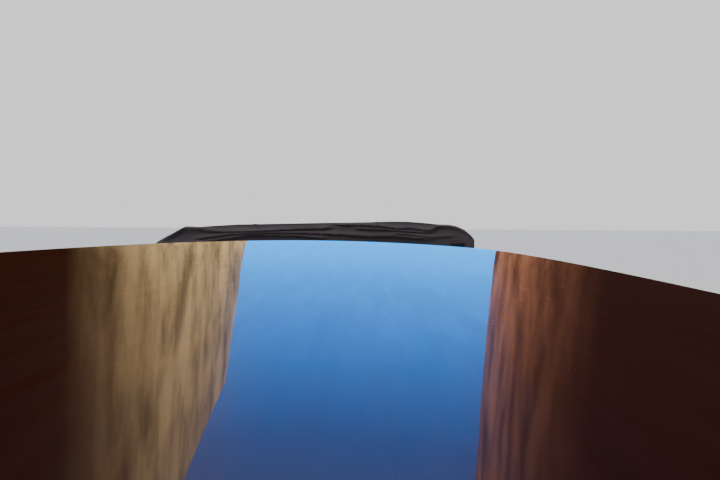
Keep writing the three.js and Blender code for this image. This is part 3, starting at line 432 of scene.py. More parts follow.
def to_side(bm, sign):
    """Mirrors a starboard shape to port where sign says so."""
    if sign < 0:
        bmesh.ops.scale(bm, vec=(-1, 1, 1), verts=bm.verts[:])
        bmesh.ops.reverse_faces(bm, faces=bm.faces[:])
    return bm


def copied(*nodes):
    """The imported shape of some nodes, merged and with its flat faces made whole."""
    bm = bmesh.new()
    for node in nodes:
        bm.from_mesh(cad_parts[node].data)
    bmesh.ops.remove_doubles(bm, verts=bm.verts[:], dist=1e-5)
    bmesh.ops.dissolve_limit(bm, angle_limit=math.radians(1), verts=bm.verts[:], edges=bm.edges[:])
    return bm


def mesh_object(name, bm):
    """Puts a shape into the scene as a new object."""
    obj = bpy.data.objects.new(name, bpy.data.meshes.new(name))
    bm.to_mesh(obj.data)
    bm.free()
    bpy.context.scene.collection.objects.link(obj)
    return obj


def piece(name, bm, finishes, body="boat", replaces=(), sharp=32, lay=None, ease=0.0):
    """Makes a finished piece: smooth with its sharp edges kept, in its finish, riding on its body."""
    finishes = [finishes] if isinstance(finishes, str) else finishes
    obj = mesh_object(name, bm)
    mesh = obj.data
    mesh.shade_smooth()
    mesh.set_sharp_from_angle(angle=math.radians(sharp))
    if lay:
        layer = mesh.attributes.new("lay", "FLOAT_VECTOR", "POINT")
        for vertex, value in zip(mesh.vertices, layer.data):
            value.vector = lay(vertex.co)
    for finish in finishes:
        mesh.materials.append(finish_of(finish))
    if ease:
        edge = obj.modifiers.new("Eased edges", "BEVEL")
        edge.width, edge.segments, edge.limit_method = ease, 2, "ANGLE"
        edge.angle_limit, edge.harden_normals = math.radians(38), True
    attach(obj, body)
    if replaces:
        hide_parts(*([replaces] if isinstance(replaces, str) else replaces))
    return obj


# Finishes

class Tree:
    """A node tree, built through short calls."""

    def __init__(self, tree):
        self.nodes, self.links = tree.nodes, tree.links

    def feed(self, socket, value):
        if isinstance(value, bpy.types.NodeSocket):
            self.links.new(value, socket)
        elif hasattr(value, "__len__") and len(value) == 3 and socket.type == "RGBA":
            socket.default_value = (*value, 1)
        else:
            socket.default_value = value

    def node(self, kind, inputs, **options):
        made = self.nodes.new("ShaderNode" + kind)
        for option, value in options.items():
            setattr(made, option, value)
        for key, value in inputs.items():
            self.feed(made.inputs[key], value)
        return made

    def place(self, scale=(1, 1, 1), attribute=None):
        if attribute:
            source = self.node("Attribute", {}, attribute_name=attribute).outputs["Vector"]
        else:
            source = self.node("TexCoord", {}).outputs["Object"]
        return self.node("Mapping", {"Vector": source, "Scale": scale}).outputs[0]

    def axes(self, vector):
        split = self.node("SeparateXYZ", {0: vector})
        return split.outputs[0], split.outputs[1], split.outputs[2]

    def noise(self, place, scale, detail=4.0, roughness=0.5, distortion=0.0):
        settings = {"Scale": scale, "Detail": detail, "Roughness": roughness, "Distortion": distortion}
        return self.node("TexNoise", {"Vector": place, **settings}).outputs[0]

    def cells(self, place, scale, feature="F1"):
        return self.node("TexVoronoi", {"Vector": place, "Scale": scale}, feature=feature).outputs[0]

    def math(self, operation, *values, **options):
        return self.node("Math", dict(enumerate(values)), operation=operation, **options).outputs[0]

    def span(self, value, low, high, to_low=0.0, to_high=1.0):
        return self.node("MapRange", {0: value, 1: low, 2: high, 3: to_low, 4: to_high}).outputs[0]

    def ramp(self, value, *stops):
        made = self.node("ValToRGB", {0: value})
        points = made.color_ramp.elements
        while len(points) < len(stops):
            points.new(0.5)
        for point, (at, tone) in zip(points, stops):
            point.position, point.color = at, (*tone, 1)
        return made.outputs[0]

    def blend(self, share, a, b, way="MIX"):
        return self.node("Mix", {0: share, 6: a, 7: b}, data_type="RGBA", blend_type=way).outputs[2]

    def shaded(self, tone, shade):
        grey = self.node("CombineColor", {0: shade, 1: shade, 2: shade}).outputs[0]
        return self.blend(1.0, tone, grey, "MULTIPLY")

    def boards(self, count):
        """How far a point lies from its board's middle, in boards, and a random value of that board."""
        off = self.math("ABSOLUTE", self.math("SUBTRACT", self.math("FRACT", count), 0.5))
        chance = self.node("TexWhiteNoise", {"W": self.math("FLOOR", count)}, noise_dimensions="1D")
        return off, chance.outputs[0]


class Finish(Tree):
    """One material, built round its shader."""

    def __init__(self, name, **sockets):
        self.material = bpy.data.materials.new(name)
        self.material.use_nodes = True
        super().__init__(self.material.node_tree)
        self.shader = self.nodes["Principled BSDF"]
        for socket, value in sockets.items():
            self.set(socket.replace("_", " "), value)

    def set(self, socket, value):
        match = {s.name.lower(): s for s in self.shader.inputs}
        self.feed(match[socket.lower()], value)

    def tone(self, value):
        self.set("Base Color", value)

    def rough(self, value, low, high):
        self.set("Roughness", self.span(value, 0.3, 0.7, low, high))

    def bump(self, height, distance, strength=1.0, coat=False):
        made = self.node("Bump", {"Height": height, "Distance": distance, "Strength": strength})
        self.set("Normal", made.outputs[0])
        if coat:
            self.set("Coat Normal", made.outputs[0])

    def show(self, node):
        """Puts another shader in the place of the material's own."""
        self.links.new(node.outputs[0], self.nodes["Material Output"].inputs["Surface"])


GRAIN = {"X": (1.6, 26, 26), "Y": (26, 1.6, 26), "Z": (26, 26, 1.6)}


def wood_tone(f, grain, dark, light, attribute=None):
    """Grain of long figure with fine pores, and a slow change of tone along the wood."""
    figure = f.noise(f.place(GRAIN[grain], attribute), 1.0, 6, 0.62, 0.7)
    pores = f.noise(f.place([g * 9 for g in GRAIN[grain]], attribute), 1.0, 3, 0.7)
    slow = f.noise(f.place((1.1, 0.7, 1.1), attribute), 1.0, 2)
    tone = f.ramp(figure, (0.3, dark), (0.52, between(dark, light, 0.55)), (0.74, light))
    tone = f.blend(f.span(pores, 0.56, 0.74, 0, 0.55), tone, tinted(dark, 0.45))
    return f.blend(f.span(slow, 0.35, 0.7, 0, 0.4), tone, between(dark, light, 0.3)), pores


def mahogany(name, grain, shade=1.0):
    tones = bpy.context.scene.taxi_finishes
    f = Finish(name, roughness=0.32, coat_weight=1.0, coat_roughness=0.035, coat_ior=1.52)
    tone, pores = wood_tone(f, grain, tinted(tones.mahogany_dark, shade), tinted(tones.mahogany_light, shade))
    f.tone(tone)
    f.rough(pores, 0.26, 0.42)
    return f.material


def roof_gloss(name):
    """Dark varnish, brushed along the boat and flatted to a mirror, with only long, shallow waves left."""
    tones = bpy.context.scene.taxi_finishes
    f = Finish(name, roughness=0.3, coat_weight=1.0, coat_roughness=0.012, coat_ior=1.9)
    f.set("Coat Tint", (1.0, 0.97, 0.95, 1))
    tone, _ = wood_tone(f, "Y", tinted(tones.roof_tone, 0.45), list(tones.roof_tone))
    f.tone(tone)
    waves = f.noise(f.place((7, 1.2, 1)), 1.0, 2, 0.4)
    fine = f.noise(f.place((60, 9, 1)), 1.0, 2, 0.5)
    height = f.math("ADD", waves, f.math("MULTIPLY", fine, 0.035))
    f.bump(height, 0.0006, 1.0, coat=True)
    f.rough(fine, 0.24, 0.36)
    return f.material


def deck_planks(name):
    """Planks run fore and aft inside a covering board along the deck's edge, with pale seams between."""
    tones, sizes = bpy.context.scene.taxi_finishes, bpy.context.scene.taxi_sizes
    f = Finish(name, roughness=0.34, coat_weight=1.0, coat_roughness=0.05)
    x, _, edge = f.axes(f.place(attribute="lay"))
    half = sizes.seam_width / 2
    board = f.math("GREATER_THAN", edge, COVERING_BOARD)
    count = f.math("DIVIDE", f.math("ADD", x, sizes.plank_width / 2), sizes.plank_width)
    off, plank = f.boards(count)
    near = f.math("MULTIPLY", f.math("SUBTRACT", 0.5, off), sizes.plank_width)
    between_planks = f.math("MULTIPLY", board, f.span(near, half * 0.8, half * 1.2, 1, 0))
    from_board = f.math("ABSOLUTE", f.math("SUBTRACT", edge, COVERING_BOARD))
    border = f.span(from_board, half * 0.8, half * 1.2, 1, 0)
    seam = f.math("MAXIMUM", between_planks, border)
    light = [min(1, c) for c in tinted(tones.mahogany_light, 1.25)]
    tone, pores = wood_tone(f, "Y", tinted(tones.mahogany_dark, 0.95), light, "lay")
    shade = f.math("MULTIPLY", f.span(plank, 0, 1, 0.72, 1.12), f.span(board, 0, 1, 0.7, 1.0))
    f.tone(f.blend(seam, f.shaded(tone, shade), tones.seam_tone[:]))
    f.rough(pores, 0.28, 0.45)
    f.bump(f.math("SUBTRACT", 1.0, seam), 0.0006, 0.5)
    return f.material


def sole_planks(name):
    """Oiled boards with narrow pale strips, laid fore and aft."""
    board, strip_edge = 0.052, (0.0225, 0.0232)
    f = Finish(name, roughness=0.5)
    x, _, _ = f.axes(f.place())
    off, plank = f.boards(f.math("DIVIDE", x, board))
    strip = f.span(f.math("MULTIPLY", off, board), *strip_edge)
    tone, pores = wood_tone(f, "Y", (0.16, 0.075, 0.03), (0.4, 0.23, 0.11))
    tone = f.shaded(tone, f.span(plank, 0, 1, 0.75, 1.15))
    f.tone(f.blend(strip, tone, (0.62, 0.5, 0.32)))
    f.rough(pores, 0.42, 0.6)
    f.bump(pores, 0.0004, 0.5)
    return f.material


def bottom_paint(name):
    base = bpy.context.scene.taxi_finishes.bottom_tone[:]
    f = Finish(name, roughness=0.6)
    worn = f.noise(f.place((2, 0.7, 5)), 1.0, 6, 0.6)
    f.tone(f.ramp(worn, (0.35, base), (0.7, [min(1, c * 1.7 + 0.015) for c in base])))
    f.rough(worn, 0.5, 0.75)
    f.bump(f.noise(f.place(), 90, 3), 0.0006, 0.6)
    return f.material


def paint(name, tone, roughness=0.3, coat=0.4):
    """Enamel with brush marks and faint dirt."""
    f = Finish(name, roughness=roughness, coat_weight=coat, coat_roughness=0.1)
    dirt = f.noise(f.place(), 6, 5, 0.6)
    f.tone(f.ramp(dirt, (0.4, tone), (0.8, tinted(tone, 0.72))))
    f.rough(dirt, roughness * 0.8, roughness * 1.3)
    f.bump(f.noise(f.place((3, 30, 30)), 4, 3), 0.0004, 0.3)
    return f.material


def boot_paint(name):
    return paint(name, bpy.context.scene.taxi_finishes.boot_tone[:])


def metal(name, tone, dull, low, high, spots=0.0):
    """Polished or cast metal: fine scratches in its gloss, and dulling where it is spotted."""
    f = Finish(name, metallic=1.0)
    wear = f.noise(f.place(), 18, 5, 0.65)
    scratch = f.noise(f.place((180, 14, 14)), 2.0, 3)
    f.tone(f.blend(f.span(wear, 0.45, 0.75, spots * 0.2, spots), tone, dull))
    f.set("Roughness", f.math("ADD", f.span(wear, 0.35, 0.75, low, high), f.span(scratch, 0.4, 0.8, 0, 0.06)))
    f.bump(scratch, 0.0001, 0.35)
    return f.material


def leather(name):
    """Soft grained hide, a little darker and glossier where it is sat on."""
    base = bpy.context.scene.taxi_finishes.leather_tone[:]
    f = Finish(name, roughness=0.48, specular_ior_level=0.45, sheen_weight=0.08)
    grain = f.cells(f.place(), 520, "DISTANCE_TO_EDGE")
    soft = f.noise(f.place(), 7, 5, 0.6)
    creases = f.noise(f.place((30, 30, 30)), 1.2, 6, 0.7, 1.1)
    tone = f.ramp(soft, (0.3, tinted(base, 0.84)), (0.65, base))
    f.tone(f.blend(f.span(grain, 0.0, 0.06, 0.3, 0), tone, tinted(base, 0.6)))
    f.rough(soft, 0.4, 0.56)
    height = f.math("ADD", f.span(grain, 0, 0.12, 0, 0.5), f.math("MULTIPLY", creases, 0.6))
    f.bump(height, 0.0009, 0.7)
    return f.material


def canvas(name):
    """Close-woven proofed cloth, its threads laid by the sheet's own measure, with worn and faded places."""
    base = bpy.context.scene.taxi_finishes.canvas_tone[:]
    f = Finish(name, roughness=0.82, sheen_weight=0.25, sheen_roughness=0.5)
    a, b, _ = f.axes(f.place(attribute="lay"))
    warp, weft = (f.math("ABSOLUTE", f.math("SINE", f.math("MULTIPLY", along, math.pi / thread)))
                  for along, thread in ((a, 0.0011), (b, 0.0013)))
    over = f.math("MULTIPLY", warp, weft)
    fade = f.noise(f.place((3, 3, 3)), 1.4, 5, 0.6)
    dust = f.noise(f.place(), 60, 4, 0.7)
    tone = f.ramp(fade, (0.3, tinted(base, 0.72)), (0.72, tinted(base, 1.35)))
    tone = f.blend(f.span(dust, 0.55, 0.8, 0, 0.35), tone, [c * 2.0 + 0.01 for c in base])
    f.tone(f.blend(f.span(over, 0, 0.4, 0.5, 0), tone, tinted(base, 0.5)))
    f.rough(fade, 0.74, 0.9)
    f.bump(f.math("ADD", over, f.math("MULTIPLY", dust, 0.5)), 0.0004, 0.6)
    return f.material


def glass(name, tint=(0.93, 0.97, 0.96)):
    """Clear glass that lets the lights through to what is behind it."""
    f = Finish(name, base_color=tint, roughness=0.0, ior=1.45, transmission_weight=1.0)
    smear = f.noise(f.place(), 9, 4, 0.6)
    f.set("Roughness", f.span(smear, 0.5, 0.8, 0.0, 0.03))
    clear = f.node("BsdfTransparent", {"Color": tint})
    ray = f.node("LightPath", {}).outputs
    passed = f.math("MAXIMUM", ray["Is Shadow Ray"], ray["Is Glossy Ray"])
    f.show(f.node("MixShader", {0: passed, 1: f.shader.outputs[0], 2: clear.outputs[0]}))
    return f.material


def lens(name, tone):
    """Coloured lamp glass, moulded with fine ribs and half clear."""
    f = Finish(name, roughness=0.08, transmission_weight=0.35, ior=1.5, coat_weight=0.6, coat_roughness=0.03)
    murk = f.noise(f.place(), 50, 3, 0.6)
    f.tone(f.ramp(murk, (0.35, tone), (0.7, tinted(tone, 0.75))))
    _, _, height = f.axes(f.place())
    rib = 0.003
    f.bump(f.math("SINE", f.math("MULTIPLY", height, 2 * math.pi / rib)), 0.0003, 0.6)
    return f.material


def rubber(name, tone=(0.012, 0.012, 0.012)):
    f = Finish(name, roughness=0.7)
    worn = f.noise(f.place(), 35, 4, 0.6)
    f.tone(f.ramp(worn, (0.35, tone), (0.75, tinted(tone, 2.2))))
    f.rough(worn, 0.6, 0.8)
    f.bump(worn, 0.0003, 0.4)
    return f.material


def lining(name):
    """Pale cloth lining with a soft nap."""
    f = Finish(name, roughness=0.9, sheen_weight=0.2)
    nap = f.noise(f.place(), 240, 3, 0.6)
    f.tone(f.ramp(nap, (0.3, (0.55, 0.5, 0.42)), (0.75, (0.72, 0.67, 0.58))))
    f.bump(nap, 0.0006, 0.5)
    return f.material


STEEL = ((0.75, 0.76, 0.77), (0.5, 0.5, 0.5), 0.1, 0.2, 0.3)
BRONZE = ((0.62, 0.4, 0.16), (0.2, 0.16, 0.08), 0.28, 0.5, 0.7)
# finish: how it is made, the record's slot it belongs to, and what its maker takes
FINISHES = {
    "hull_varnish": (mahogany, "hull_varnish", ("Y",)),
    "upright_varnish": (mahogany, "hull_varnish", ("Z",)),
    "cross_varnish": (mahogany, "hull_varnish", ("X",)),
    "dark_varnish": (mahogany, "hull_varnish", ("Y", 0.55)),
    "roof_varnish": (roof_gloss, "roof_varnish", ()),
    "deck_varnish": (deck_planks, "deck_varnish", ()),
    "sole_planks": (sole_planks, "sole_planks", ()),
    "bottom_paint": (bottom_paint, "bottom_paint", ()),
    "boot_paint": (boot_paint, "bottom_paint", ()),
    "bright_steel": (metal, "bright_steel", STEEL),
    "bronze": (metal, "bronze", BRONZE),
    "seat_leather": (leather, "seat_leather", ()),
    "hood_canvas": (canvas, "hood_canvas", ()),
    "engine_paint": (paint, "engine_paint", ((0.05, 0.085, 0.07), 0.42, 0.1)),
    "engine_cover": (paint, "engine_paint", ((0.25, 0.26, 0.25), 0.4, 0.1)),
    "dull_steel": (metal, "engine_paint", ((0.42, 0.42, 0.42), (0.2, 0.17, 0.14), 0.3, 0.5, 0.6)),
    "clear_glass": (glass, "clear_glass", ()),
    "red_lens": (lens, "clear_glass", ((0.62, 0.012, 0.01),)),
    "green_lens": (lens, "clear_glass", ((0.01, 0.3, 0.07),)),
    "black_rubber": (rubber, "engine_paint", ()),
    "dial_white": (paint, "engine_paint", ((0.8, 0.79, 0.75), 0.5, 0.0)),
    # near black: the dials' own black faces, and the painted shade inside the exhaust pipes' mouths
    "dial_black": (rubber, "engine_paint", ((0.006, 0.006, 0.007),)),
    "cabin_lining": (lining, "seat_leather", ()),
}
MADE = {}


def finish_of(name):
    if name not in MADE:
        maker, _, settings = FINISHES[name]
        MADE[name] = maker(name, *settings)
    return MADE[name]


def refinish(finish, *nodes):
    """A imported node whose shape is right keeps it, in a better material."""
    for node in nodes:
        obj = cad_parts[node]
        if not obj.material_slots:
            obj.data.materials.append(None)
        for held in obj.material_slots:
            held.material = finish_of(finish)


# Hull

class TAXI_OT_hull(Operator):
    """Planked hull: bottom, topsides with their boot stripe, transom, keel and stem"""

    bl_idname = "taxi.hull"
    bl_label = "Hull"

    def execute(self, context):
        def under(lift):
            def place(u, v):
                s, y = mix(-1, 1, u), station(v)
                x, along, z = bottom_point(y, abs(s))
                if lift:
                    x *= max(chine_x(y) - PLANK, 0.2 * chine_x(y)) / chine_x(y)
                return math.copysign(x, s), along, z + lift

            return place

        self.painted("hull_bottom_planks", shell(40, 110, under(0), under(BOTTOM_PLANK)), "hull_bottom")
        for side, sign in SIDES:
            def skin(u, v):
                x, y, z = side_point(station(v), u)
                return sign * x, y, z + GAP * (1 - u)

            def inside(u, v):
                x, y, z = side_point(station(v), u)
                return sign * max(x - PLANK, STEM_INNER), y, z + (BOTTOM_PLANK + GAP) * (1 - u)

            self.painted(f"topsides_{side}", shell(26, 110, skin, inside), f"hull_side_{side}")
        half = [bottom_point(TRANSOM_Y, k / 6)[::2] for k in range(6)]
        half += [side_point(TRANSOM_Y, k / 14)[::2] for k in range(15)]
        top = [sheer_x(TRANSOM_Y) * k / 14 for k in range(14, -1, -1)]
        half += [(x, deck_z(x, TRANSOM_Y)) for x in top]
        edge = half + [(-x, z) for x, z in half[-2:0:-1]]
        planks = plate(edge, BOTTOM_PLANK - GAP, "across", TRANSOM_Y - BOTTOM_PLANK)
        self.painted("transom_planks", planks, "transom", "cross_varnish")
        self.painted("keel_and_stem_timber", copied("keel_and_stem"), "keel_and_stem", ease=0.006)
        return {"FINISHED"}

    def painted(self, name, bm, node, varnish="hull_varnish", ease=0.0):
        """Bottom paint up to the waterline, the boot stripe over it and varnish above."""
        boot = bpy.context.scene.taxi_sizes.boot_height
        split_at(bm, 2, 0, boot)
        for face in bm.faces:
            z = face.calc_center_median().z
            face.material_index = 1 if z < 0 else 2 if z < boot else 0
        piece(name, bm, [varnish, "bottom_paint", "boot_paint"], replaces=node, sharp=40, ease=ease)


RAIL_SECTION = [(0, 0.022), (0.024, 0.022), (0.034, 0.008), (0.034, -0.05), (0.02, -0.066), (0, -0.066)]
STRIP_Z = -0.021


def along_sheer(section, out, up, sign, y0=TRANSOM_Y, y1=STEM_Y, steps=110):
    """A moulding that follows the sheer, its section given outward and upward from it."""
    n = len(section)

    def place(u, v):
        a, b = section[round(u * n) % n]
        y = station(v, y0, y1)
        return sign * (sheer_x(y) + out + a), y, sheer_z(y) + up + b

    return capped(surface(n, steps, place))


class TAXI_OT_rails(Operator):
    """Rubbing rails with their bright half-round strips, and the strip down the stem"""

    bl_idname = "taxi.rails"
    bl_label = "Rubbing rails"

    def execute(self, context):
        wood = rounded_section(RAIL_SECTION, 0.004)
        for side, sign in SIDES:
            rail = along_sheer(wood, GAP, 0, sign)
            piece(f"rubbing_rail_{side}", rail, "hull_varnish", replaces=f"rub_rail_{side}")
            strip = along_sheer(half_round(0.006, 0.011), GAP + 0.0338, STRIP_Z, sign, -4.38, 4.57)
            piece(f"rubbing_strip_{side}", strip, "bright_steel")
            screws = [turned([(0.0032, 0), (0.0032, 0.0006), (0, 0.0009)],
                             (sign * (sheer_x(y) + GAP + 0.0396), y, sheer_z(y) + STRIP_Z), (sign, 0, 0), 8)
                      for y in spread(-4.3, 4.2, 37)]
            piece(f"rubbing_strip_screws_{side}", joined(*screws), "bright_steel")
            piece(f"spray_rail_{side}", self.spray_rail(sign), "hull_varnish")
        piece("stem_band", self.stem_band(), "bright_steel")
        return {"FINISHED"}

    def spray_rail(self, sign):
        """A rail along the chine, that turns the spray down, fading into the planking at both ends."""
        path, grow, count = [], [], 56
        for k, at in enumerate(spread(2.42, 4.3, count)):
            x, y, z = side_point(at, 0.03)
            path.append((sign * (x + 0.001), y, z))
            grow.append(0.2 + 0.8 * min(1, k / 8, (count - k) / 8))
        section = [(-0.012 * sign, 0.016), (0.014 * sign, 0.004), (0.016 * sign, -0.004),
                   (-0.012 * sign, -0.008)]
        return swept(path, section, scale=grow)

    def stem_band(self):
        """A half-round strip down the stem's face, from its head to under the water."""
        bm = copied("keel_and_stem")
        side = sorted(((v.co.z, v.co.y) for v in bm.verts
                       if v.co.x > 0 and v.co.y > 3.9 and -0.5 < v.co.z < 1.0), reverse=True)
        bm.free()
        # of the corners at about one height, only the one ahead of the others is on the stem's face
        path = [Vector((0, y + 0.0005, z)) for z, y in side
                if y >= max(b for a, b in side if abs(a - z) < 0.035) - 0.001]
        fine = [p.lerp(q, k / 6) for p, q in zip(path, path[1:]) for k in range(6)]
        return swept([*fine, path[-1]], [(a, b) for b, a in half_round(0.007, 0.012)], up=(0, 1, 0))


# Decks

def deck_sheet(y0, y1, inner=None, across=64, along=70):
    def place(u, v):
        y = mix(y0, y1, 1 - (1 - v) ** 1.4) if y1 == STEM_Y else mix(y0, y1, v)
        reach = sheer_x(y)
        x = mix(-reach if inner is None else inner, reach, u)
        return x, y, deck_z(x, y)

    return surface(across, along, place)


def deck_lay(co):
    return co.x, co.y, sheer_x(clamp((co.y - TRANSOM_Y) / 9) * 9 + TRANSOM_Y) - abs(co.x)


# hatch: half width, aft edge, fore edge, and the deck it is cut from
HATCHES = {
    "bow_hatch": (0.27, 2.72, 3.22, (FOREDECK_Y, STEM_Y)),
    "engine_hatch": (0.39, -4.24, -3.62, (TRANSOM_Y, AFT_WELL_Y)),
}
HATCH_GAP, HINGE_GAP = 0.007, 0.0006


class TAXI_OT_decks(Operator):
    """Planked decks and the two hatch lids cut out of them, with their hinges and lifting rings"""

    bl_idname = "taxi.decks"
    bl_label = "Decks and hatches"

    def execute(self, context):
        for deck, hatch in (("foredeck", "bow_hatch"), ("aft_deck", "engine_hatch")):
            half, y0, y1, (start, end) = HATCHES[hatch]
            wide, aft, fore = half + HATCH_GAP, y0 - HATCH_GAP, y1 + HATCH_GAP
            around = self.cut(deck_sheet(start, end), wide, aft, fore, False, HINGE_GAP)
            self.planked(f"{deck}_planks", around, deck)
            self.planked(f"{hatch}_lid", self.cut(deck_sheet(start, end), half, y0, y1, True), hatch, hatch)
            self.fittings(hatch, half, y0, y1)
        for side, sign in SIDES:
            bm = deck_sheet(AFT_WELL_Y + GAP, FOREDECK_Y - GAP, WELL_HALF + GAP, 14, 120)
            self.planked(f"side_deck_planks_{side}", to_side(bm, sign), f"side_deck_{side}")
        return {"FINISHED"}

    def cut(self, bm, half, y0, y1, inside, spare=0.0):
        """Cuts a deck along the outline of a hatch, and keeps what lies inside it or what lies outside."""
        split_at(bm, 0, -half, half)
        split_at(bm, 1, y0, y1 + spare)
        middles = [(face, face.calc_center_median()) for face in bm.faces]
        gone = [face for face, c in middles if (abs(c.x) < half and y0 < c.y < y1) != inside]
        bmesh.ops.delete(bm, geom=gone, context="FACES")
        return bm

    def planked(self, name, bm, node, body="boat"):
        piece(name, thicken(bm, DECK_EDGE - GAP), "deck_varnish", body, node, lay=deck_lay)

    def fittings(self, hatch, half, y0, y1):
        """Two hinges at a lid's fore edge, and two lifting rings on their plates near its aft edge."""
        rings, hinges, y = [], [], y0 + 0.05
        for x in (-half * 0.62, half * 0.62):
            z = deck_z(x, y1)
            hinges.append(slab((x - 0.03, y1 - 0.045, z - 0.001), (x + 0.03, y1 - 0.004, z + 0.003), 0.001))
        for x in (-half * 0.5, half * 0.5):
            z = deck_z(x, y)
            rings.append(turned([(0, 0), (0.026, 0), (0.026, 0.002), (0.022, 0.004), (0, 0.004)], (x, y, z)))
            loop = [(x + a, y + b, z + 0.006) for a, b in disc(0.015, 24)]
            rings.append(tube(loop, 0.0025, closed=True, sides=8))
        piece(f"{hatch}_fittings", joined(*rings, *hinges), "bright_steel", hatch)


# Cabin

def under_roof(x, y):
    return roof_z(x, y) - ROOF_THICK - 0.001


def opening_frame(a0, a1, b0, b1, r, wide, depth, kind, at, lap=0.004):
    outer = box_corners(a0 - wide, a1 + wide, b0 - wide, b1 + wide)
    hole = (a0 + lap, a1 - lap, b0 + lap, b1 - lap, max(r - lap, 0.002))
    return plate(outer, depth, kind, at, [hole], r + wide)


class TAXI_OT_cabin(Operator):
    """Cabin sides and glazed bulkheads, with their window frames, mouldings and lining"""

    bl_idname = "taxi.cabin"
    bl_label = "Cabin"

    def execute(self, context):
        wide, half = context.scene.taxi_sizes.frame_width, LINING_HALF - GAP
        self.walls(wide)
        self.bulkhead("fore_bulkhead", CABIN_FORE_Y - WALL, HELM_SOLE_Z, 1, half, wide)
        self.bulkhead("aft_bulkhead", CABIN_AFT_Y, AFT_SOLE_Z, -1, half, wide)
        self.overhead(half)
        return {"FINISHED"}

    def walls(self, wide):
        """Both sides, with the frames and seals of their windows and the bead along their foot."""
        windows = [(y - SIDE_WINDOW_HALF, y + SIDE_WINDOW_HALF, WINDOW_LOW_Z, WINDOW_HIGH_Z, WINDOW_CORNER)
                   for y in SIDE_WINDOWS]
        rims = (
            ("window_frames", "bright_steel", 0.0015, (wide, 0.004, "along", WELL_HALF)),
            ("window_seals", "black_rubber", 0, (-0.002, 0.02, "along", LINING_HALF + 0.004, 0.006)),
            ("inner_frames", "hull_varnish", 0.0015,
             (wide * 0.8, 0.006, "along", LINING_HALF - 0.013, 0.001)))
        head = [(y, under_roof(WELL_HALF, y)) for y in spread(CABIN_FORE_Y, CABIN_AFT_Y, 16)]
        outline = [(CABIN_AFT_Y, -0.02), (CABIN_FORE_Y, -0.02), *head]
        for side, sign in SIDES:
            bm = plate(outline, WALL, "along", LINING_HALF, windows)
            piece(f"cabin_wall_{side}", to_side(bm, sign), "hull_varnish", replaces=f"cabin_side_{side}")
            for name, finish, ease, sizes in rims:
                bm = joined(*[opening_frame(*window, *sizes) for window in windows])
                piece(f"{name}_{side}", to_side(bm, sign), finish, ease=ease)
            foot = [(WELL_HALF + 0.009, y, deck_z(WELL_HALF, y) + 0.008)
                    for y in spread(CABIN_AFT_Y, CABIN_FORE_Y, 40)]
            piece(f"cabin_foot_bead_{side}", to_side(tube(foot, 0.009), sign), "hull_varnish")
            refinish("clear_glass", f"side_glass_{side}")

    def bulkhead(self, name, y0, low, face, half, wide):
        """A bulkhead with its doorway and two lights; frames and trim go on the face that shows outside."""
        head = [(x, min(under_roof(x, y0), under_roof(x, y0 + WALL))) for x in spread(half, -half, 20)]
        outline = [(-half, CABIN_SOLE_Z + GAP), (half, CABIN_SOLE_Z + GAP), *head]
        lights = [(a, b, WINDOW_LOW_Z, WINDOW_HIGH_Z, WINDOW_CORNER) for a, b in END_WINDOWS]
        door = (-DOORWAY_HALF, DOORWAY_HALF, low, DOOR_TOP_Z, 0)
        panel = plate(outline, WALL, "across", y0, [door, *lights])
        piece(f"{name}_panel", panel, "upright_varnish", replaces=name)
        frames = [opening_frame(*light, wide, 0.004, "across", y0 + WALL if face > 0 else y0 - 0.004)
                  for light in lights]
        piece(f"{name}_frames", joined(*frames), "bright_steel", ease=0.0015)
        near, far = (DOORWAY_HALF + edge for edge in TRIM_EDGES)
        low, high, top = low + 0.002, *(DOOR_TOP_Z + edge for edge in TRIM_EDGES)
        outline = [(-far, low), (-near, low), (-near, high), (near, high), (near, low), (far, low),
                   (far, top), (-far, top)]
        trim = plate(outline, 0.01, "across", y0 + WALL if face > 0 else y0 - 0.01)
        piece(f"{name}_door_trim", trim, "upright_varnish", ease=0.002)
        refinish("clear_glass", f"{name}_glass_starboard", f"{name}_glass_port")

    def overhead(self, half):
        """The lining under the roof, and three beams across it."""
        def below_roof(drop):
            def place(u, v):
                x, y = mix(-half, half, u), mix(*LINING_ENDS, v)
                return x, y, under_roof(x, y) - drop

            return place

        piece("head_lining", shell(30, 60, below_roof(0.0005), below_roof(0.007)), "cabin_lining")
        section = bar_section(0.02, 0.015, 0.004)
        beams = [swept([(x, y, under_roof(x, y) - 0.022) for x in spread(-half, half, 24)], section)
                 for y in (-1.35, -0.66, 0.03)]
        piece("roof_beams", joined(*beams), "cross_varnish")


class TAXI_OT_roof(Operator):
    """One long cambered roof with eased edges and a bead under its rim"""

    bl_idname = "taxi.roof"
    bl_label = "Roof"

    def execute(self, context):
        def along(v):
            w = 2 * v - 1
            return w + 0.42 * math.sin(math.pi * w) / math.pi

        bm = shell(
            72, 150, lambda u, v: roof_point(2 * u - 1, along(v), 0.006),
            lambda u, v: roof_point(2 * u - 1, along(v), 0, ROOF_THICK))
        corners = [e for e in bm.edges if e.calc_face_angle(0) > math.radians(50)]
        bevel(bm, corners, 0.006, 4, clamped=True)
        piece("roof_panel", bm, "roof_varnish", replaces="roof", sharp=50)
        sides, ends = spread(-1, 1, 90), spread(1, -1, 36)[1:-1]
        rim = [(1, along((t + 1) / 2)) for t in sides] + [(s, 1) for s in ends]
        rim += [(-1, along((1 - t) / 2)) for t in sides] + [(-s, -1) for s in ends]
        path = [roof_point(s, t, -0.001, 0.027) for s, t in rim]
        piece("roof_bead", tube(path, 0.007, closed=True, sides=10), "dark_varnish")
        return {"FINISHED"}


LEAF_GAP, LEAF_THICK, DOOR_SILL, STILE = 0.005, 0.028, 0.008, 0.062


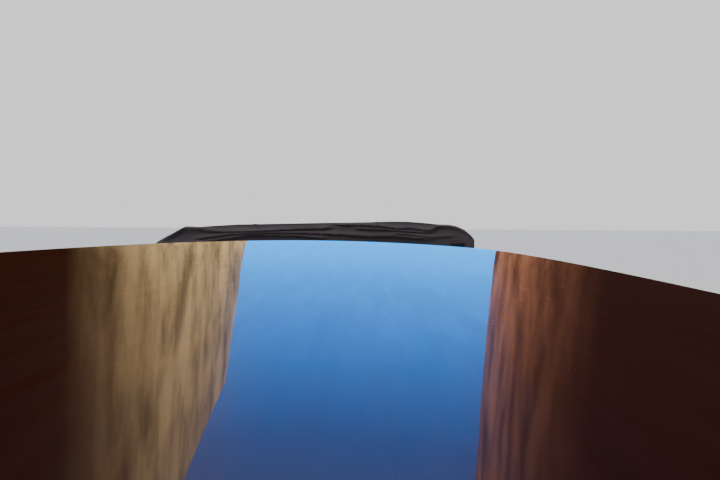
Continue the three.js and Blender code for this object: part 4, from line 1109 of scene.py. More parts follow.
class TAXI_OT_doors(Operator):
    """Panelled door leaves with their lights, handles and hinges: one forward and two aft"""

    bl_idname = "taxi.doors"
    bl_label = "Doors"

    def execute(self, context):
        hinged = DOORWAY_HALF - HINGE_GAP
        self.leaf("fore_door", LEAF_GAP - DOORWAY_HALF, hinged, CABIN_FORE_Y - LEAF_THICK, HELM_SOLE_Z, 1, 1)
        for side, sign in SIDES:
            self.leaf(f"aft_door_{side}", LEAF_GAP / 2, hinged, CABIN_AFT_Y, AFT_SOLE_Z, -1, sign)
        return {"FINISHED"}

    def leaf(self, name, x0, x1, y0, sole, face, sign):
        """One leaf from its free edge, x0, to its hinges, x1; its handle is on the outer face."""
        low, top = sole + DOOR_SILL, DOOR_TOP_Z - LEAF_GAP
        near = y0 + LEAF_THICK if face > 0 else y0
        light = (x0 + STILE, x1 - STILE, WINDOW_LOW_Z, WINDOW_HIGH_Z - 0.02, 0.04)
        panel = (x0 + STILE, x1 - STILE, low + 0.09, WINDOW_LOW_Z - 0.08, 0.004)

        def grown(by):
            return box_corners(panel[0] - by, panel[1] + by, panel[2] - by, panel[3] + by)

        bm = plate(box_corners(x0, x1, low, top), LEAF_THICK, "across", y0, [light, panel])
        piece(f"{name}_leaf", to_side(bm, sign), "upright_varnish", name, name, ease=0.002)
        bm = joined(plate(grown(0.004), 0.012, "across", y0 + 0.008),
                    plate(grown(-0.035), 0.022, "across", y0 + 0.003))
        piece(f"{name}_panel", to_side(bm, sign), "upright_varnish", name, ease=0.005)
        frames = [opening_frame(*light, 0.014, 0.003, "across", near if face > 0 else near - 0.003),
                  opening_frame(*light, -0.001, LEAF_THICK, "across", y0, 0.006)]
        piece(f"{name}_light_frame", to_side(joined(*frames), sign), "bright_steel", name, ease=0.001)
        x, z = x0 + 0.032, low + (top - low) * 0.47
        grip = [(x, near + face * d, z) for d in (0, 0.012, 0.026)]
        grip += [(x + e, near + face * 0.032, z) for e in (0.008, 0.03, 0.06, 0.085)]
        rose = turned([(0, 0), (0.02, 0), (0.02, 0.003), (0.016, 0.005), (0, 0.005)],
                      (x, near, z), (0, face, 0), 24)
        y, y_out = sorted((near + face * 0.001, near + face * 0.001 + face * 0.003))
        hinges = [slab((x1 - 0.034, y, at - 0.035), (x1 - 0.002, y_out, at + 0.035), 0.001)
                  for at in (mix(low, top, height) for height in (0.12, 0.5, 0.88))]
        bm = joined(tube(grip, 0.006, sides=12), rose, *hinges)
        piece(f"{name}_handle", to_side(bm, sign), "bright_steel", name)
        refinish("clear_glass", name.replace("_door", "_door_glass"))


class TAXI_OT_wells(Operator):
    """Soles of the three wells, coamings with their capping, steps and bench fronts"""

    bl_idname = "taxi.wells"
    bl_label = "Soles, coamings and benches"

    def execute(self, context):
        for node in ("cabin_sole", "helm_sole", "aft_sole"):
            self.eased(f"{node}_boards", node, "sole_planks", 0.002)
        self.eased("cabin_step_boards", "cabin_steps", "sole_planks", 0.004)
        low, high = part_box("cabin_steps")
        nosing = [slab((low.x + 0.01, y - 0.004, z - 0.001), (high.x - 0.01, y + 0.022, z + 0.003), 0.001)
                  for y, z in ((low.y + 0.004, 0.145), (high.y - 0.14 + 0.004, 0.27))]
        piece("step_nosings", joined(*nosing), "bright_steel")
        for node in ("helm_coaming", "aft_coaming"):
            self.eased(f"{node}_lining", node, "hull_varnish", 0.003)
        section = bar_section(0.024, 0.009, 0.006, 4)
        for side, sign in SIDES:
            for name, y0, y1 in (("helm", CABIN_FORE_Y + 0.006, FOREDECK_Y - 0.002),
                                 ("aft", AFT_WELL_Y, CABIN_AFT_Y - 0.002)):
                path = [(sign * (WELL_HALF - 0.015), y, deck_z(WELL_HALF, y) + 0.062 + 0.008)
                        for y in spread(y0, y1, 30)]
                piece(f"{name}_capping_{side}", swept(path, section), "hull_varnish")
            self.eased(f"cabin_bench_{side}_front", f"cabin_bench_{side}", "hull_varnish", 0.004)
        self.eased("aft_bench_front", "aft_bench", "hull_varnish", 0.004)
        return {"FINISHED"}

    def eased(self, name, node, finish, ease):
        """A node's own shape, with its edges eased."""
        piece(name, copied(node), finish, replaces=node, ease=ease)


# Cushions

FORMS = {}


def stuffed(length, depth, thick, sizes, frames):
    """A stuffed block: blown up by a cloth simulation, and held in at its seams."""
    key = (round(length, 3), round(depth, 3), round(thick, 3))
    if key in FORMS:
        return FORMS[key]
    swell = 0.007
    half = Vector((length / 2 - 0.002, depth / 2 - 0.002, thick / 2 - swell))
    obj = mesh_object("stuffing", slab(-half, half, 0.016, 3))
    remesh = obj.modifiers.new("Mesh", "REMESH")
    remesh.mode, remesh.voxel_size = "VOXEL", sizes.voxel
    settle(obj)
    start = [v.co.copy() for v in obj.data.vertices]
    cloth = obj.modifiers.new("Stuffing", "CLOTH")
    held = cloth.settings
    held.quality, held.mass = 5, 0.3
    held.use_pressure, held.uniform_pressure_force = True, 4
    held.tension_stiffness = held.compression_stiffness = 30
    held.shear_stiffness, held.bending_stiffness = 10, 2
    held.effector_weights.gravity = 0
    cloth.point_cache.frame_start, cloth.point_cache.frame_end = 1, frames
    for number in range(1, frames + 1):
        bpy.context.scene.frame_set(number)
    settle(obj)
    bpy.context.scene.frame_set(1)
    for v, was in zip(obj.data.vertices, start):
        # the seams run round both rims and hold the cover in; between them it may swell
        rim = min(half.x - abs(was.x), half.y - abs(was.y))
        cap = mix(0.002, swell + 0.004, clamp(rim / 0.07)) if abs(was.z) > half.z - 0.012 else 0.0035
        step = v.co - was
        if step.length > cap:
            v.co = was + step * (cap / step.length)
    smooth = obj.modifiers.new("Fine", "SUBSURF")
    smooth.levels = smooth.render_levels = 1
    settle(obj)
    FORMS[key] = obj.data.copy()
    bpy.data.objects.remove(obj)
    return FORMS[key]


def settle(obj):
    """Puts the object's modifiers into its mesh."""
    graph = bpy.context.evaluated_depsgraph_get()
    graph.update()
    mesh = bpy.data.meshes.new_from_object(obj.evaluated_get(graph))
    obj.modifiers.clear()
    obj.data = mesh


def rim_path(length, depth, inset, corner, height):
    """The line of a seam: a rounded rectangle at one height, with points along its straight sides too."""
    section = bar_section(length / 2 - inset, depth / 2 - inset, corner, 5)
    path = []
    for p, q in zip(section, section[1:] + section[:1]):
        parts = max(1, round(math.dist(p, q) / 0.04))
        path += [(*between(p, q, j / parts), height) for j in range(parts)]
    return path


class TAXI_OT_seats(Operator):
    """Leather cushions of the cabin, the aft well and the helm, each stuffed, sewn and piped"""

    bl_idname = "taxi.seats"
    bl_label = "Seats"

    def execute(self, context):
        self.sizes, self.frames = context.scene.taxi_sizes, context.scene.taxi_stage.stuffing_frames
        up, flat = Matrix.Identity(3), Matrix(((0, -1, 0), (1, 0, 0), (0, 0, 1)))
        cross = Matrix(((1, 0, 0), (0, 0, 1), (0, 1, 0)))
        for side, sign in SIDES:
            back = Matrix(((0, 0, -sign), (1, 0, 0), (0, 1, 0)))
            lean = Matrix.Rotation(math.radians(-sign * 3.4), 3, "Y")
            node = f"cabin_seat_{side}"
            low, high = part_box(node)
            length = (high.y - low.y) / 3
            inner, wall = 0.3316, 0.7456
            for k in range(3):
                y = low.y + (k + 0.5) * length
                self.cushion(f"{node}_cushion_{k + 1}", (length - 0.003, 0.306, 0.104),
                             (sign * (inner + 0.153), y, 0.3304 + 0.052), flat, node, 0)
                self.cushion(f"{node}_back_{k + 1}", (length - 0.003, 0.425, 0.092),
                             (sign * (wall - 0.058), y, 0.4364 + 0.2065), lean @ back, node, 7)
            for name, size, (x, y, z), turn, channels in (
                    ("aft_cushion", (0.476, 0.278, 0.104), (0.5046, -2.7476, 0.4824), flat, 0),
                    ("aft_cross_cushion", (0.642, 0.318, 0.104), (0.3225, -3.1496, 0.4824), up, 0),
                    ("aft_back", (0.8, 0.23, 0.1), (0.6966, -2.908, 0.645), back, 8),
                    ("aft_cross_back", (0.642, 0.23, 0.1), (0.3225, -3.3616, 0.645), cross, 6),
                    ("aft_corner_back", (0.1, 0.23, 0.1), (0.6966, -3.3616, 0.645), back, 0)):
                self.cushion(f"{name}_{side}", size, (sign * x, y, z), turn, "aft_seat", channels)
        self.cushion("helm_cushion", (0.312, 0.358, 0.072), (0.589, 1.2575, 0.836), up, "helm_seat", 0)
        seat = slab((0.44, 1.085, HELM_SOLE_Z + GAP), (0.74, 1.43, 0.799), 0.006)
        piece("helm_seat_box", seat, "upright_varnish", replaces="helm_seat")
        return {"FINISHED"}

    def cushion(self, name, size, at, turn, node, channels):
        """size is length, depth and thickness; turn stands it up; channels are sewn across its length."""
        length, depth, thick = size
        bm = bmesh.new()
        bm.from_mesh(stuffed(length, depth, thick, self.sizes, self.frames))
        for v in bm.verts:
            if channels and v.co.z > 0:
                share = (v.co.x / length + 0.5) * channels
                near = abs(share - round(share)) * length / channels
                inside = clamp(1 - (v.co.x / (length / 2 - 0.012)) ** 8)
                inside *= clamp(1 - (v.co.y / (depth / 2 - 0.01)) ** 6)
                if 0 < round(share) < channels:
                    v.co.z -= 0.0085 * inside * math.exp(-((near / 0.009) ** 2))
        place = Matrix.Translation(at) @ turn.to_4x4()
        moved(bm, place)
        if turn.determinant() < 0:
            bmesh.ops.reverse_faces(bm, faces=bm.faces[:])
        obj = piece(name, bm, "seat_leather", replaces=node, sharp=180)
        cords = [tube(rim_path(length, depth, 0.0052, 0.014, height), 0.0035, closed=True, sides=8)
                 for height in (thick / 2 - 0.013, 0.013 - thick / 2)]
        piece(f"{name}_piping", outward(moved(joined(*cords), place)), "seat_leather")


# Helm

WHEEL_AT, WHEEL_R, WHEEL_TILT = Vector((-0.21, 1.452, 0.905)), 0.19, math.radians(28)
WHEEL_AXIS = Vector((0, -math.cos(WHEEL_TILT), math.sin(WHEEL_TILT)))
CONSOLE = [(1.9496, 0.64), (1.9496, 0.862), (1.79, 0.872), (1.64, 0.914), (1.572, 0.89), (1.54, 0.77),
           (1.556, 0.7), (1.7, 0.64)]


class TAXI_OT_helm(Operator):
    """Helm console with dials, switches and engine control, and the steering wheel"""

    bl_idname = "taxi.helm"
    bl_label = "Helm"

    def execute(self, context):
        body = plate(CONSOLE, 2 * (LINING_HALF - GAP), "along", GAP - LINING_HALF)
        boss = turned([(0, 0), (0.03, 0), (0.032, 0.006), (0.036, 0.046), (0, 0.046)],
                      WHEEL_AT - WHEEL_AXIS * 0.1066, -WHEEL_AXIS)
        piece("console_top", body, "cross_varnish", replaces="helm_console", ease=0.006)
        piece("wheel_boss", boss, "bright_steel")
        self.dash()
        self.control()
        self.wheel()
        return {"FINISHED"}

    def dash(self):
        """Instruments in the upright face, which leans between two edges of the console."""
        low, high = Vector((0, 1.54, 0.77)), Vector((0, 1.572, 0.89))
        rise = (high - low).normalized()
        face = Vector((0, -rise.z, rise.y))
        bezels, dials, marks, glasses = [], [], [], []
        for x, r in ((-0.47, 0.042), (-0.38, 0.03), (0.02, 0.042), (0.3, 0.03), (0.38, 0.03), (0.46, 0.03)):
            at = Vector((x, 0, 0)) + (low + high) / 2 - face * 0.0005
            bezels.append(turned([(r, 0), (r + 0.006, 0), (r + 0.006, 0.004), (r + 0.003, 0.007), (r, 0.005),
                                  (r, 0)], at, face, 40))
            dials.append(turned([(0, 0), (r, 0), (r, 0.002), (0, 0.002)], at, face, 40))
            glasses.append(turned([(0, 0.0042), (r - 0.0005, 0.0042), (r - 0.0005, 0.005),
                                   (0, 0.0062)], at, face, 40))
            place = Matrix.Translation(at) @ turn_to(face)
            for k in range(-4, 5):
                tick = slab((r * 0.76, -0.0006, 0.002), (r * 0.92, 0.0006, 0.0026))
                marks.append(moved(tick, place @ Matrix.Rotation(math.radians(90 + 30 * k), 4, "Z")))
            hand = slab((-r * 0.12, -0.0009, 0.0028), (r * 0.7, 0.0009, 0.0036))
            marks.append(moved(hand, place @ Matrix.Rotation(math.radians(205), 4, "Z")))
        switches = [turned([(0, 0), (0.008, 0), (0.008, 0.002), (0.003, 0.003), (0.003, 0.014), (0, 0.016)],
                           Vector((0.1 + 0.025 * k, 0, 0)) + low.lerp(high, 0.3), face, 16) for k in range(6)]
        for name, parts, finish in (
                ("dial_bezels", bezels, "bright_steel"), ("dial_faces", dials, "dial_black"),
                ("dial_marks", marks, "dial_white"), ("dial_glasses", glasses, "clear_glass"),
                ("dash_switches", switches, "bright_steel")):
            piece(name, joined(*parts), finish)

    def control(self):
        """Single-lever engine control on its box."""
        piece("control_box", slab((0.12, 1.56, 0.82), (0.19, 1.65, 0.945), 0.006, 3), "bright_steel")
        lever = [(0.155, 1.606, 0.925), (0.155, 1.6, 0.97), (0.155, 1.589, 1.01), (0.155, 1.578, 1.05)]
        piece("control_lever", swept(lever, bar_section(0.009, 0.006, 0.003), up=(0, 1, 0)), "bright_steel")
        knob = [(0, -0.022), (0.01, -0.021), (0.019, -0.012), (0.022, 0), (0.02, 0.011), (0.012, 0.02),
                (0, 0.0225)]
        piece("control_knob", turned(knob, (0.155, 1.576, 1.06), steps=24), "black_rubber")

    def wheel(self):
        """Wooden rim, pierced steel spokes and a domed hub, on the raked column."""
        place = Matrix.Translation(WHEEL_AT) @ turn_to(WHEEL_AXIS)
        rim = tube([(a, b, 0) for a, b in disc(WHEEL_R, 72)], 0.0128, closed=True, sides=20)
        piece("wheel_rim", moved(rim, place), "dark_varnish", "steering_wheel", "steering_wheel")
        parts = [turned([(0, -0.101), (0.019, -0.101), (0.019, -0.02), (0.03, -0.02), (0.038, 0.012),
                         (0.036, 0.02), (0.02, 0.023), (0, 0.024)])]
        outline = [(0.03, -0.016), (0.12, -0.011), (0.184, -0.013), (0.184, 0.013), (0.12, 0.011),
                   (0.03, 0.016)]
        holes = [(c - 0.006, c + 0.006, -0.005, 0.005, 0.0049) for c in (0.065, 0.095, 0.125)]
        for angle in (90, 210, 330):
            spoke = plate(outline, 0.005, "lying", -0.0025, holes)
            parts.append(moved(spoke, Matrix.Rotation(math.radians(angle), 4, "Z")))
        piece("wheel_spokes", moved(joined(*parts), place), "bright_steel", "steering_wheel", ease=0.001)


# Windscreen and hood: foot x, foot y, head x, head y, head z, from the middle post to the end of a wing
SCREEN = [(0, 2.072, 0, 1.85, 1.578), (0.73, 2.032, 0.7, 1.822, 1.566), (0.88, 1.89, 0.858, 1.712, 1.53),
          (0.905, 1.33, 0.882, 1.216, 1.49)]
HOOD_AFT_Y, HOOD_SHOULDER, HEM_Z, CLOTH, CLOTH_THICK = 1.203, 0.8, 1.504, 0.007, 0.0016
# How the hood's aft edge hangs, in x and z, from the middle out: to a drawn-out corner at port, and to a
# round one at starboard
EDGE_PORT = [(0, 1.6565), (-0.345, 1.6477), (-0.43, 1.6461), (-0.534, 1.6398), (-0.653, 1.6317),
             (-0.735, 1.6346), (-0.785, 1.6069), (-0.907, 1.5406), (-0.921, 1.524), (-0.918, 1.508)]
EDGE_STARBOARD = [(0, 1.6565), (0.312, 1.6635), (0.444, 1.6675), (0.535, 1.6671), (0.638, 1.6593),
                  (0.7, 1.6535), (0.762, 1.6521), (0.803, 1.644), (0.844, 1.6257), (0.885, 1.5911),
                  (0.902, 1.5704), (0.906, 1.5581), (0.899, 1.536), (0.886, 1.508)]
LIP = 0.0038
# The fold depth that the heights below are drawn at, and the depth of the skirt under the aft edge
FOLDS_DRAWN_AT, SKIRT_DEPTH = 0.009, 0.155
# Folds of the skirt: the line of each one's crest in x and z, how far it stands out, and how slowly
# the cloth swells above it and falls back below it
FOLDS = [
    ([(-0.678, 1.6307), (-0.613, 1.6113), (-0.535, 1.6057), (-0.443, 1.608), (-0.352, 1.6097), (-0.1, 1.622),
      (0.12, 1.63)], 0.0095, 0.016, LIP),
    ([(-0.7, 1.56), (-0.613, 1.5724), (-0.482, 1.5897), (-0.352, 1.6002), (-0.1, 1.602), (0.12, 1.596),
      (0.308, 1.5867), (0.441, 1.5887), (0.51, 1.5813), (0.58, 1.5767), (0.68, 1.57)], 0.0085, 0.013, LIP),
    ([(-0.68, 1.54), (-0.626, 1.5464), (-0.482, 1.5699), (-0.352, 1.5894), (-0.1, 1.585), (0.1, 1.57)],
     0.007, 0.012, LIP),
    ([(0.1, 1.65), (0.25, 1.648), (0.371, 1.6418), (0.464, 1.6306), (0.545, 1.6329), (0.626, 1.6216),
      (0.66, 1.6235), (0.71, 1.6442), (0.73, 1.65)], 0.0095, 0.014, LIP),
    ([(0.2, 1.628), (0.371, 1.6235), (0.5, 1.614), (0.626, 1.6075), (0.69, 1.613)], 0.007, 0.012, LIP),
    ([(0.42, 1.602), (0.52, 1.597), (0.603, 1.5887), (0.66, 1.5823), (0.754, 1.587), (0.8, 1.592)],
     0.0065, 0.011, LIP),
    ([(0.69, 1.596), (0.715, 1.606), (0.74, 1.619)], 0.005, 0.008, LIP),
    ([(-0.905, 1.535), (-0.785, 1.6), (-0.735, 1.627), (-0.66, 1.625), (-0.6, 1.628)], 0.012, 0.005, 0.018),
    ([(-0.9, 1.517), (-0.8, 1.522), (-0.7, 1.53), (-0.6, 1.535)], 0.011, 0.024, 0.005),
    ([(0.66, 1.65), (0.7, 1.647), (0.762, 1.6455), (0.803, 1.637), (0.844, 1.6185), (0.885, 1.583),
      (0.9, 1.56)], 0.012, 0.004, 0.01),
]


def along_line(line, x):
    """The height of a line of x and height at one x, held level past its ends."""
    for (x0, z0), (x1, z1) in zip(line, line[1:]):
        if x <= x1:
            return mix(z0, z1, clamp((x - x0) / (x1 - x0)))
    return line[-1][1]


def run_of(line, share):
    """The point at a share of a line's length."""
    lengths = [math.dist(a, b) for a, b in zip(line, line[1:])]
    left = share * sum(lengths)
    for a, b, length in zip(line, line[1:], lengths):
        if left <= length or b is line[-1]:
            return between(a, b, clamp(left / length))
        left -= length


def hood_aft(s):
    found = []
    for near in (s - 0.008, s, s + 0.008):
        near = max(-1, min(1, near))
        found.append(run_of(EDGE_PORT if near < 0 else EDGE_STARBOARD, abs(near)))
    turn = 0.035 * clamp((abs(s) - 0.9) / 0.1) ** 2
    return Vector((sum(x for x, _ in found) / 3, HOOD_AFT_Y + turn, sum(z for _, z in found) / 3))


def fold_out(x, z):
    """How far the skirt stands out at a point of its own face."""
    out = 0
    for line, height, above, below in FOLDS:
        ends = clamp((x - line[0][0]) / 0.06) * clamp((line[-1][0] - x) / 0.06)
        over = z - along_line(line, x)
        out += height * ends * math.exp(-((over / (above if over > 0 else below)) ** 2))
    tuck = clamp((x - 0.768) / 0.03) * clamp((0.858 - x) / 0.012)
    return out - 0.016 * tuck * clamp((1.549 - z) / 0.005)


def hood_fore(s):
    a = abs(s)
    k = 1 if a > HOOD_SHOULDER else 0
    stops = (0, HOOD_SHOULDER, 1)
    p, q = (Vector(row[2:]) for row in SCREEN[k:k + 2])
    p = p.lerp(q, (a - stops[k]) / (stops[k + 1] - stops[k]))
    over = clamp((a - HOOD_SHOULDER) / (1 - HOOD_SHOULDER))
    return Vector((math.copysign(p.x + 0.02 * over, s), p.y + 0.026, p.z + 0.023))


def hood_top(s, v):
    p = hood_aft(s).lerp(hood_fore(s), v)
    p.z += 0.012 * math.sin(math.pi * v) * (1 - s**4)
    return p


def hood_skirt(s, v):
    """From the hem, v = 0, up to the hood's aft edge."""
    edge = hood_aft(s)
    hem = min(HEM_Z, edge.z - 0.003)
    return Vector((edge.x, edge.y - 0.012 * math.sin(math.pi * v) * (1 - s**4), mix(hem, edge.z, v)))


def cloth_lay(co):
    return co.x, co.y - co.z, 0


class TAXI_OT_windscreen(Operator):
    """Raked windscreen: rounded mahogany bars round one run of glass, with its wiper"""

    bl_idname = "taxi.windscreen"
    bl_label = "Windscreen"

    def execute(self, context):
        posts = [(Vector((sx * fx, fy, deck_z(fx, fy) - 0.004)), Vector((sx * hx, hy, hz)))
                 for sx, rows in ((-1, SCREEN[:0:-1]), (1, SCREEN)) for fx, fy, hx, hy, hz in rows]
        bar = bar_section(0.018, 0.018, 0.006)
        head = rounded_section(box_corners(-0.019, 0.019, -0.019, 0.0155), 0.006)
        sill = rounded_section(box_corners(-0.019, 0.019, -0.012, 0.034), 0.006)
        bars = [swept([foot, top - (top - foot).normalized() * 0.01], bar, up=(0, 1, 0))
                for foot, top in posts]
        bars.append(swept([top for _, top in posts], head))
        bars.append(swept([foot for foot, _ in posts], sill))
        frame_bars = piece("windscreen_bars", joined(*bars), "hull_varnish", replaces="windscreen_frame")
        frame_bars.visible_glossy = False
        refinish("clear_glass", "windscreen_glass")
        self.wipers()
        feet = [turned([(0, 0), (0.03, 0), (0.03, 0.003), (0.026, 0.006), (0, 0.006)],
                       (foot.x, foot.y, foot.z + 0.03), steps=24) for foot, _ in posts]
        piece("windscreen_post_feet", joined(*feet), "bright_steel")
        return {"FINISHED"}

    def wipers(self):
        """One wiper on each front light, parked along the sill."""
        foot, head = Vector(SCREEN[0][:2] + (0.855,)), Vector(SCREEN[0][2:])
        up = (head - foot).normalized()
        out = Vector((0, up.z, -up.y))
        arms, blades = [], []
        for sign in (-1, 1):
            hub = foot + Vector((sign * 0.36, -0.006, 0)) + up * 0.05 + out * 0.022
            arms.append(turned([(0, 0), (0.013, 0), (0.013, 0.004), (0.009, 0.012), (0, 0.014)],
                               hub, out, 20))
            tip = hub + Vector((-sign * 0.17, 0, 0)) + up * 0.06 + out * 0.008
            line = [hub + out * 0.008, hub.lerp(tip, 0.5) + out * 0.011, tip]
            arms.append(tube(line, 0.003, up=(0, 1, 0), sides=8))
            run = Vector((-sign, 0, 0.25)).normalized()
            rubber_edge = rounded_section(box_corners(-0.004, 0.004, -0.007, 0.003), 0.001)
            blades.append(swept([tip - run * 0.13, tip, tip + run * 0.13], rubber_edge, up=out))
        piece("wiper_arms", joined(*arms), "bright_steel")
        piece("wiper_blades", joined(*blades), "black_rubber")


class TAXI_OT_hood(Operator):
    """Canvas spray hood with its slack skirt, on a steel bow and laced to the windscreen's head"""

    bl_idname = "taxi.hood"
    bl_label = "Spray hood"

    def execute(self, context):
        deep = context.scene.taxi_sizes.fold_depth / FOLDS_DRAWN_AT
        # the skirt takes this share of the sheet's rows, and the hood's top the rest
        turn_at = 0.6

        def cloth(u, v):
            s = 2 * u - 1
            if v < turn_at:
                w = v / turn_at
                p = hood_skirt(s, w)
                free = clamp((1 - w) / 0.07) ** 0.5
                p.y += CLOTH * 0.5 - deep * free * (1 - s**8) * fold_out(p.x, p.z)
            else:
                w = (v - turn_at) / (1 - turn_at)
                p = hood_top(s, w)
                p.z += 0.0022 * self.slack(s, w) - 0.001
            return p

        bm = surface(220, 90, cloth)
        bmesh.ops.solidify(bm, geom=bm.faces[:], thickness=CLOTH_THICK)
        obj = piece("spray_hood_canvas", outward(bm), "hood_canvas", replaces="canvas_hood", sharp=60,
                    lay=cloth_lay)
        # the roof's gloss shows the sky right up to the hood, as if the panel ran flat there
        obj.visible_glossy = False
        self.trim()
        path = [hood_top(s, 0) + Vector((0, 0.018, -0.014)) for s in spread(-0.92, 0.92, 48)]
        foot = Vector((0.868, 1.32, deck_z(0.868, 1.32)))
        whole = [Vector((-foot.x, foot.y, foot.z)), *path, foot]
        bow = piece("hood_bow_tube", tube(whole, 0.009, up=(0, 1, 0)), "bright_steel", replaces="hood_bow")
        bow.visible_glossy = False
        return {"FINISHED"}

    def trim(self):
        """Studs along the windscreen's head, and raised seams where the hood's three cloths are sewn."""
        studs = [turned([(0, 0), (0.0065, 0), (0.0062, 0.0018), (0.004, 0.0034), (0, 0.004)],
                        hood_fore(s) + Vector((0, 0.0005, -0.0015)), (0, 0.55, 0.85), 12)
                 for s in spread(-0.96, 0.96, 20)]
        piece("hood_studs", joined(*studs), "bright_steel").visible_glossy = False
        seams = [swept([hood_top(s, v) + Vector((0, 0, 0.0006)) for v in spread(0.05, 0.985, 30)],
                       bar_section(0.008, 0.0012, 0.001)) for s in (-0.36, 0.36)]
        piece("hood_seams", joined(*seams), "hood_canvas", lay=cloth_lay).visible_glossy = False

    def slack(self, s, w):
        return math.sin(9 * s + 2.1 * w) * math.sin(math.pi * w)


# Fittings

class TAXI_OT_fittings(Operator):
    """Grab rails, bitt, cleats, staff and lights"""

    bl_idname = "taxi.fittings"
    bl_label = "Deck fittings"

    def execute(self, context):
        y0, y1 = CABIN_AFT_Y + 0.12, CABIN_FORE_Y - 0.12
        for side, sign in SIDES:
            x, z = WELL_HALF + 0.04, 1.468
            rail = [(x, y, z) for y in (y0, y0 + 0.004, y0 + 0.012, y1 - 0.012, y1 - 0.004, y1)]
            parts = [tube(rail, 0.011, scale=[0.45, 0.8, 1, 1, 0.8, 0.45])]
            parts += [turned([(0, 0), (0.017, 0), (0.016, 0.004), (0.008, 0.008), (0.007, 0.036), (0, 0.036)],
                             (WELL_HALF, y, z), (1, 0, 0), 20) for y in spread(y0 + 0.04, y1 - 0.04, 4)]
            piece(f"hand_rail_{side}", to_side(joined(*parts), sign), "bright_steel",
                  replaces=f"grab_rail_{side}")
            piece(f"mooring_cleat_{side}", self.cleat(sign * 0.64, -4.22), "bright_steel",
                  replaces=f"stern_cleat_{side}")
        post = turned([(0, 0), (0.07, 0), (0.07, 0.008), (0.062, 0.013), (0.034, 0.018), (0.028, 0.03),
                       (0.026, 0.13), (0.033, 0.142), (0.033, 0.15), (0.026, 0.157), (0, 0.159)])
        bar = [(x, 0, 0.108) for x in (-0.115, -0.111, -0.1, -0.03, 0.03, 0.1, 0.111, 0.115)]
        cross = tube(bar, 0.015, scale=[0.4, 0.8, 1, 0.85, 0.85, 1, 0.8, 0.4])
        piece("mooring_bitt", self.seated(joined(post, cross), 0, 3.7), "bright_steel", replaces="bow_bitt")
        self.staff()
        self.side_lights()
        self.horn()
        for side, sign in SIDES:
            piece(f"engine_vent_{side}", self.seated(self.vent(), sign * 0.6, -3.92), "bright_steel")
            chocks = joined(self.seated(self.chock(), sign * 0.235, 4.2),
                            self.seated(self.chock(), sign * 0.82, -4.3))
            piece(f"fairleads_{side}", chocks, "bright_steel")
            outlet = (sign * 0.42, TRANSOM_Y - BOTTOM_PLANK, 0.16), (0, -1, 0)
            pipe = turned([(0.026, 0), (0.036, 0), (0.036, 0.003), (0.031, 0.006), (0.03, 0.008),
                           (0.026, 0.008), (0.026, 0)], *outlet)
            piece(f"exhaust_ring_{side}", pipe, "bright_steel")
            # a near-black disc over the pipe's mouth stands in for the shaded inside of the pipe: painted
            # shade
            bore_shade = turned([(0, 0), (0.026, 0), (0.026, 0.002), (0, 0.002)], *outlet)
            piece(f"exhaust_bore_{side}", bore_shade, "dial_black")
        cap = turned([(0, 0.0032), (0.012, 0.0032), (0.013, 0.0022), (0.022, 0.0022), (0.0225, 0.0032),
                      (0.026, 0.0036), (0.033, 0.003), (0.035, 0), (0, 0)])
        slot = slab((-0.009, -0.0016, 0.002), (0.009, 0.0016, 0.0055), 0.0006)
        piece("filler_cap", self.seated(joined(cap, slot), 0.9, -2.9), "bright_steel")
        return {"FINISHED"}

    def side_lights(self):
        """Low teardrop lamps on the foredeck, red to port and green to starboard."""
        def drop(u, v):
            wide = math.sin(math.pi * v) * (0.9 + 0.1 * math.cos(math.pi * v))
            return (wide * math.cos(2 * math.pi * u) * 0.036,
                    -math.cos(math.pi * v) * (0.07 if v < 0.5 else 0.09),
                    0.036 * max(0, math.sin(2 * math.pi * u)) * math.sin(math.pi * v) ** 0.8)

        for side, sign in SIDES:
            body = surface(28, 12, drop)
            bmesh.ops.remove_doubles(body, verts=body.verts[:], dist=1e-5)
            x, y = sign * 0.5, 2.66
            piece(f"side_light_body_{side}", self.seated(outward(body), x, y), "bright_steel")
            window = turned([(0, 0), (0.02, 0), (0.02, 0.009), (0.016, 0.018), (0.008, 0.023), (0, 0.024)],
                            (sign * 0.016, 0.016, 0.02), (sign * 0.7, 0.7, 0.1), 24)
            piece(f"side_light_lens_{side}", self.seated(window, x, y),
                  "green_lens" if sign > 0 else "red_lens")

    def horn(self):
        """One trumpet horn on a low foot."""
        bell = turned([(0, -0.004), (0.011, -0.004), (0.012, 0.01), (0.0135, 0.03), (0.0125, 0.034),
                       (0.0075, 0.04), (0.007, 0.12), (0.0095, 0.15), (0.016, 0.172), (0.027, 0.187),
                       (0.0285, 0.187), (0.0275, 0.184), (0.017, 0.167), (0.009, 0.145),
                       (0, 0.14)], (0, -0.09, 0.045), (0, 1, 0.03), 28)
        foot = [(0, 0), (0.014, 0), (0.014, 0.003), (0.006, 0.007), (0.005, 0.04), (0, 0.04)]
        feet = [turned(foot, (0, y, 0), steps=18) for y in (-0.065, 0.05)]
        piece("horn", self.seated(joined(bell, *feet), 0.33, 2.36), "bright_steel")

    def vent(self):
        """A clamshell cowl over an engine-room vent, open aft."""
        def cowl(grow):
            def place(u, v):
                a, b = math.pi * u, math.pi / 2 * v
                return (0.045 * grow * math.cos(a), mix(-0.05, 0.055 * grow, math.sin(b)),
                        0.042 * grow * math.sin(a) * math.cos(b) ** 0.6 if v < 1 else 0)

            return place

        flange = plate(box_corners(-0.056, 0.056, -0.058, 0.066), 0.0022, "lying", 0, radius=0.03)
        return joined(shell(20, 10, cowl(1), cowl(0.93)), flange)

    def chock(self):
        """An open fairlead: two horns on a rounded foot."""
        foot = plate(box_corners(-0.016, 0.016, -0.06, 0.06), 0.006, "lying", 0, radius=0.014)
        line = ((0.045, 0.004), (0.043, 0.018), (0.034, 0.029), (0.02, 0.033), (0.012, 0.033))
        horns = [tube([(0, side * a, h) for a, h in line], 0.007, up=(1, 0, 0), sides=12,
                      scale=[1.1, 1, 0.95, 0.85, 0.5]) for side in (-1, 1)]
        return joined(foot, *horns)

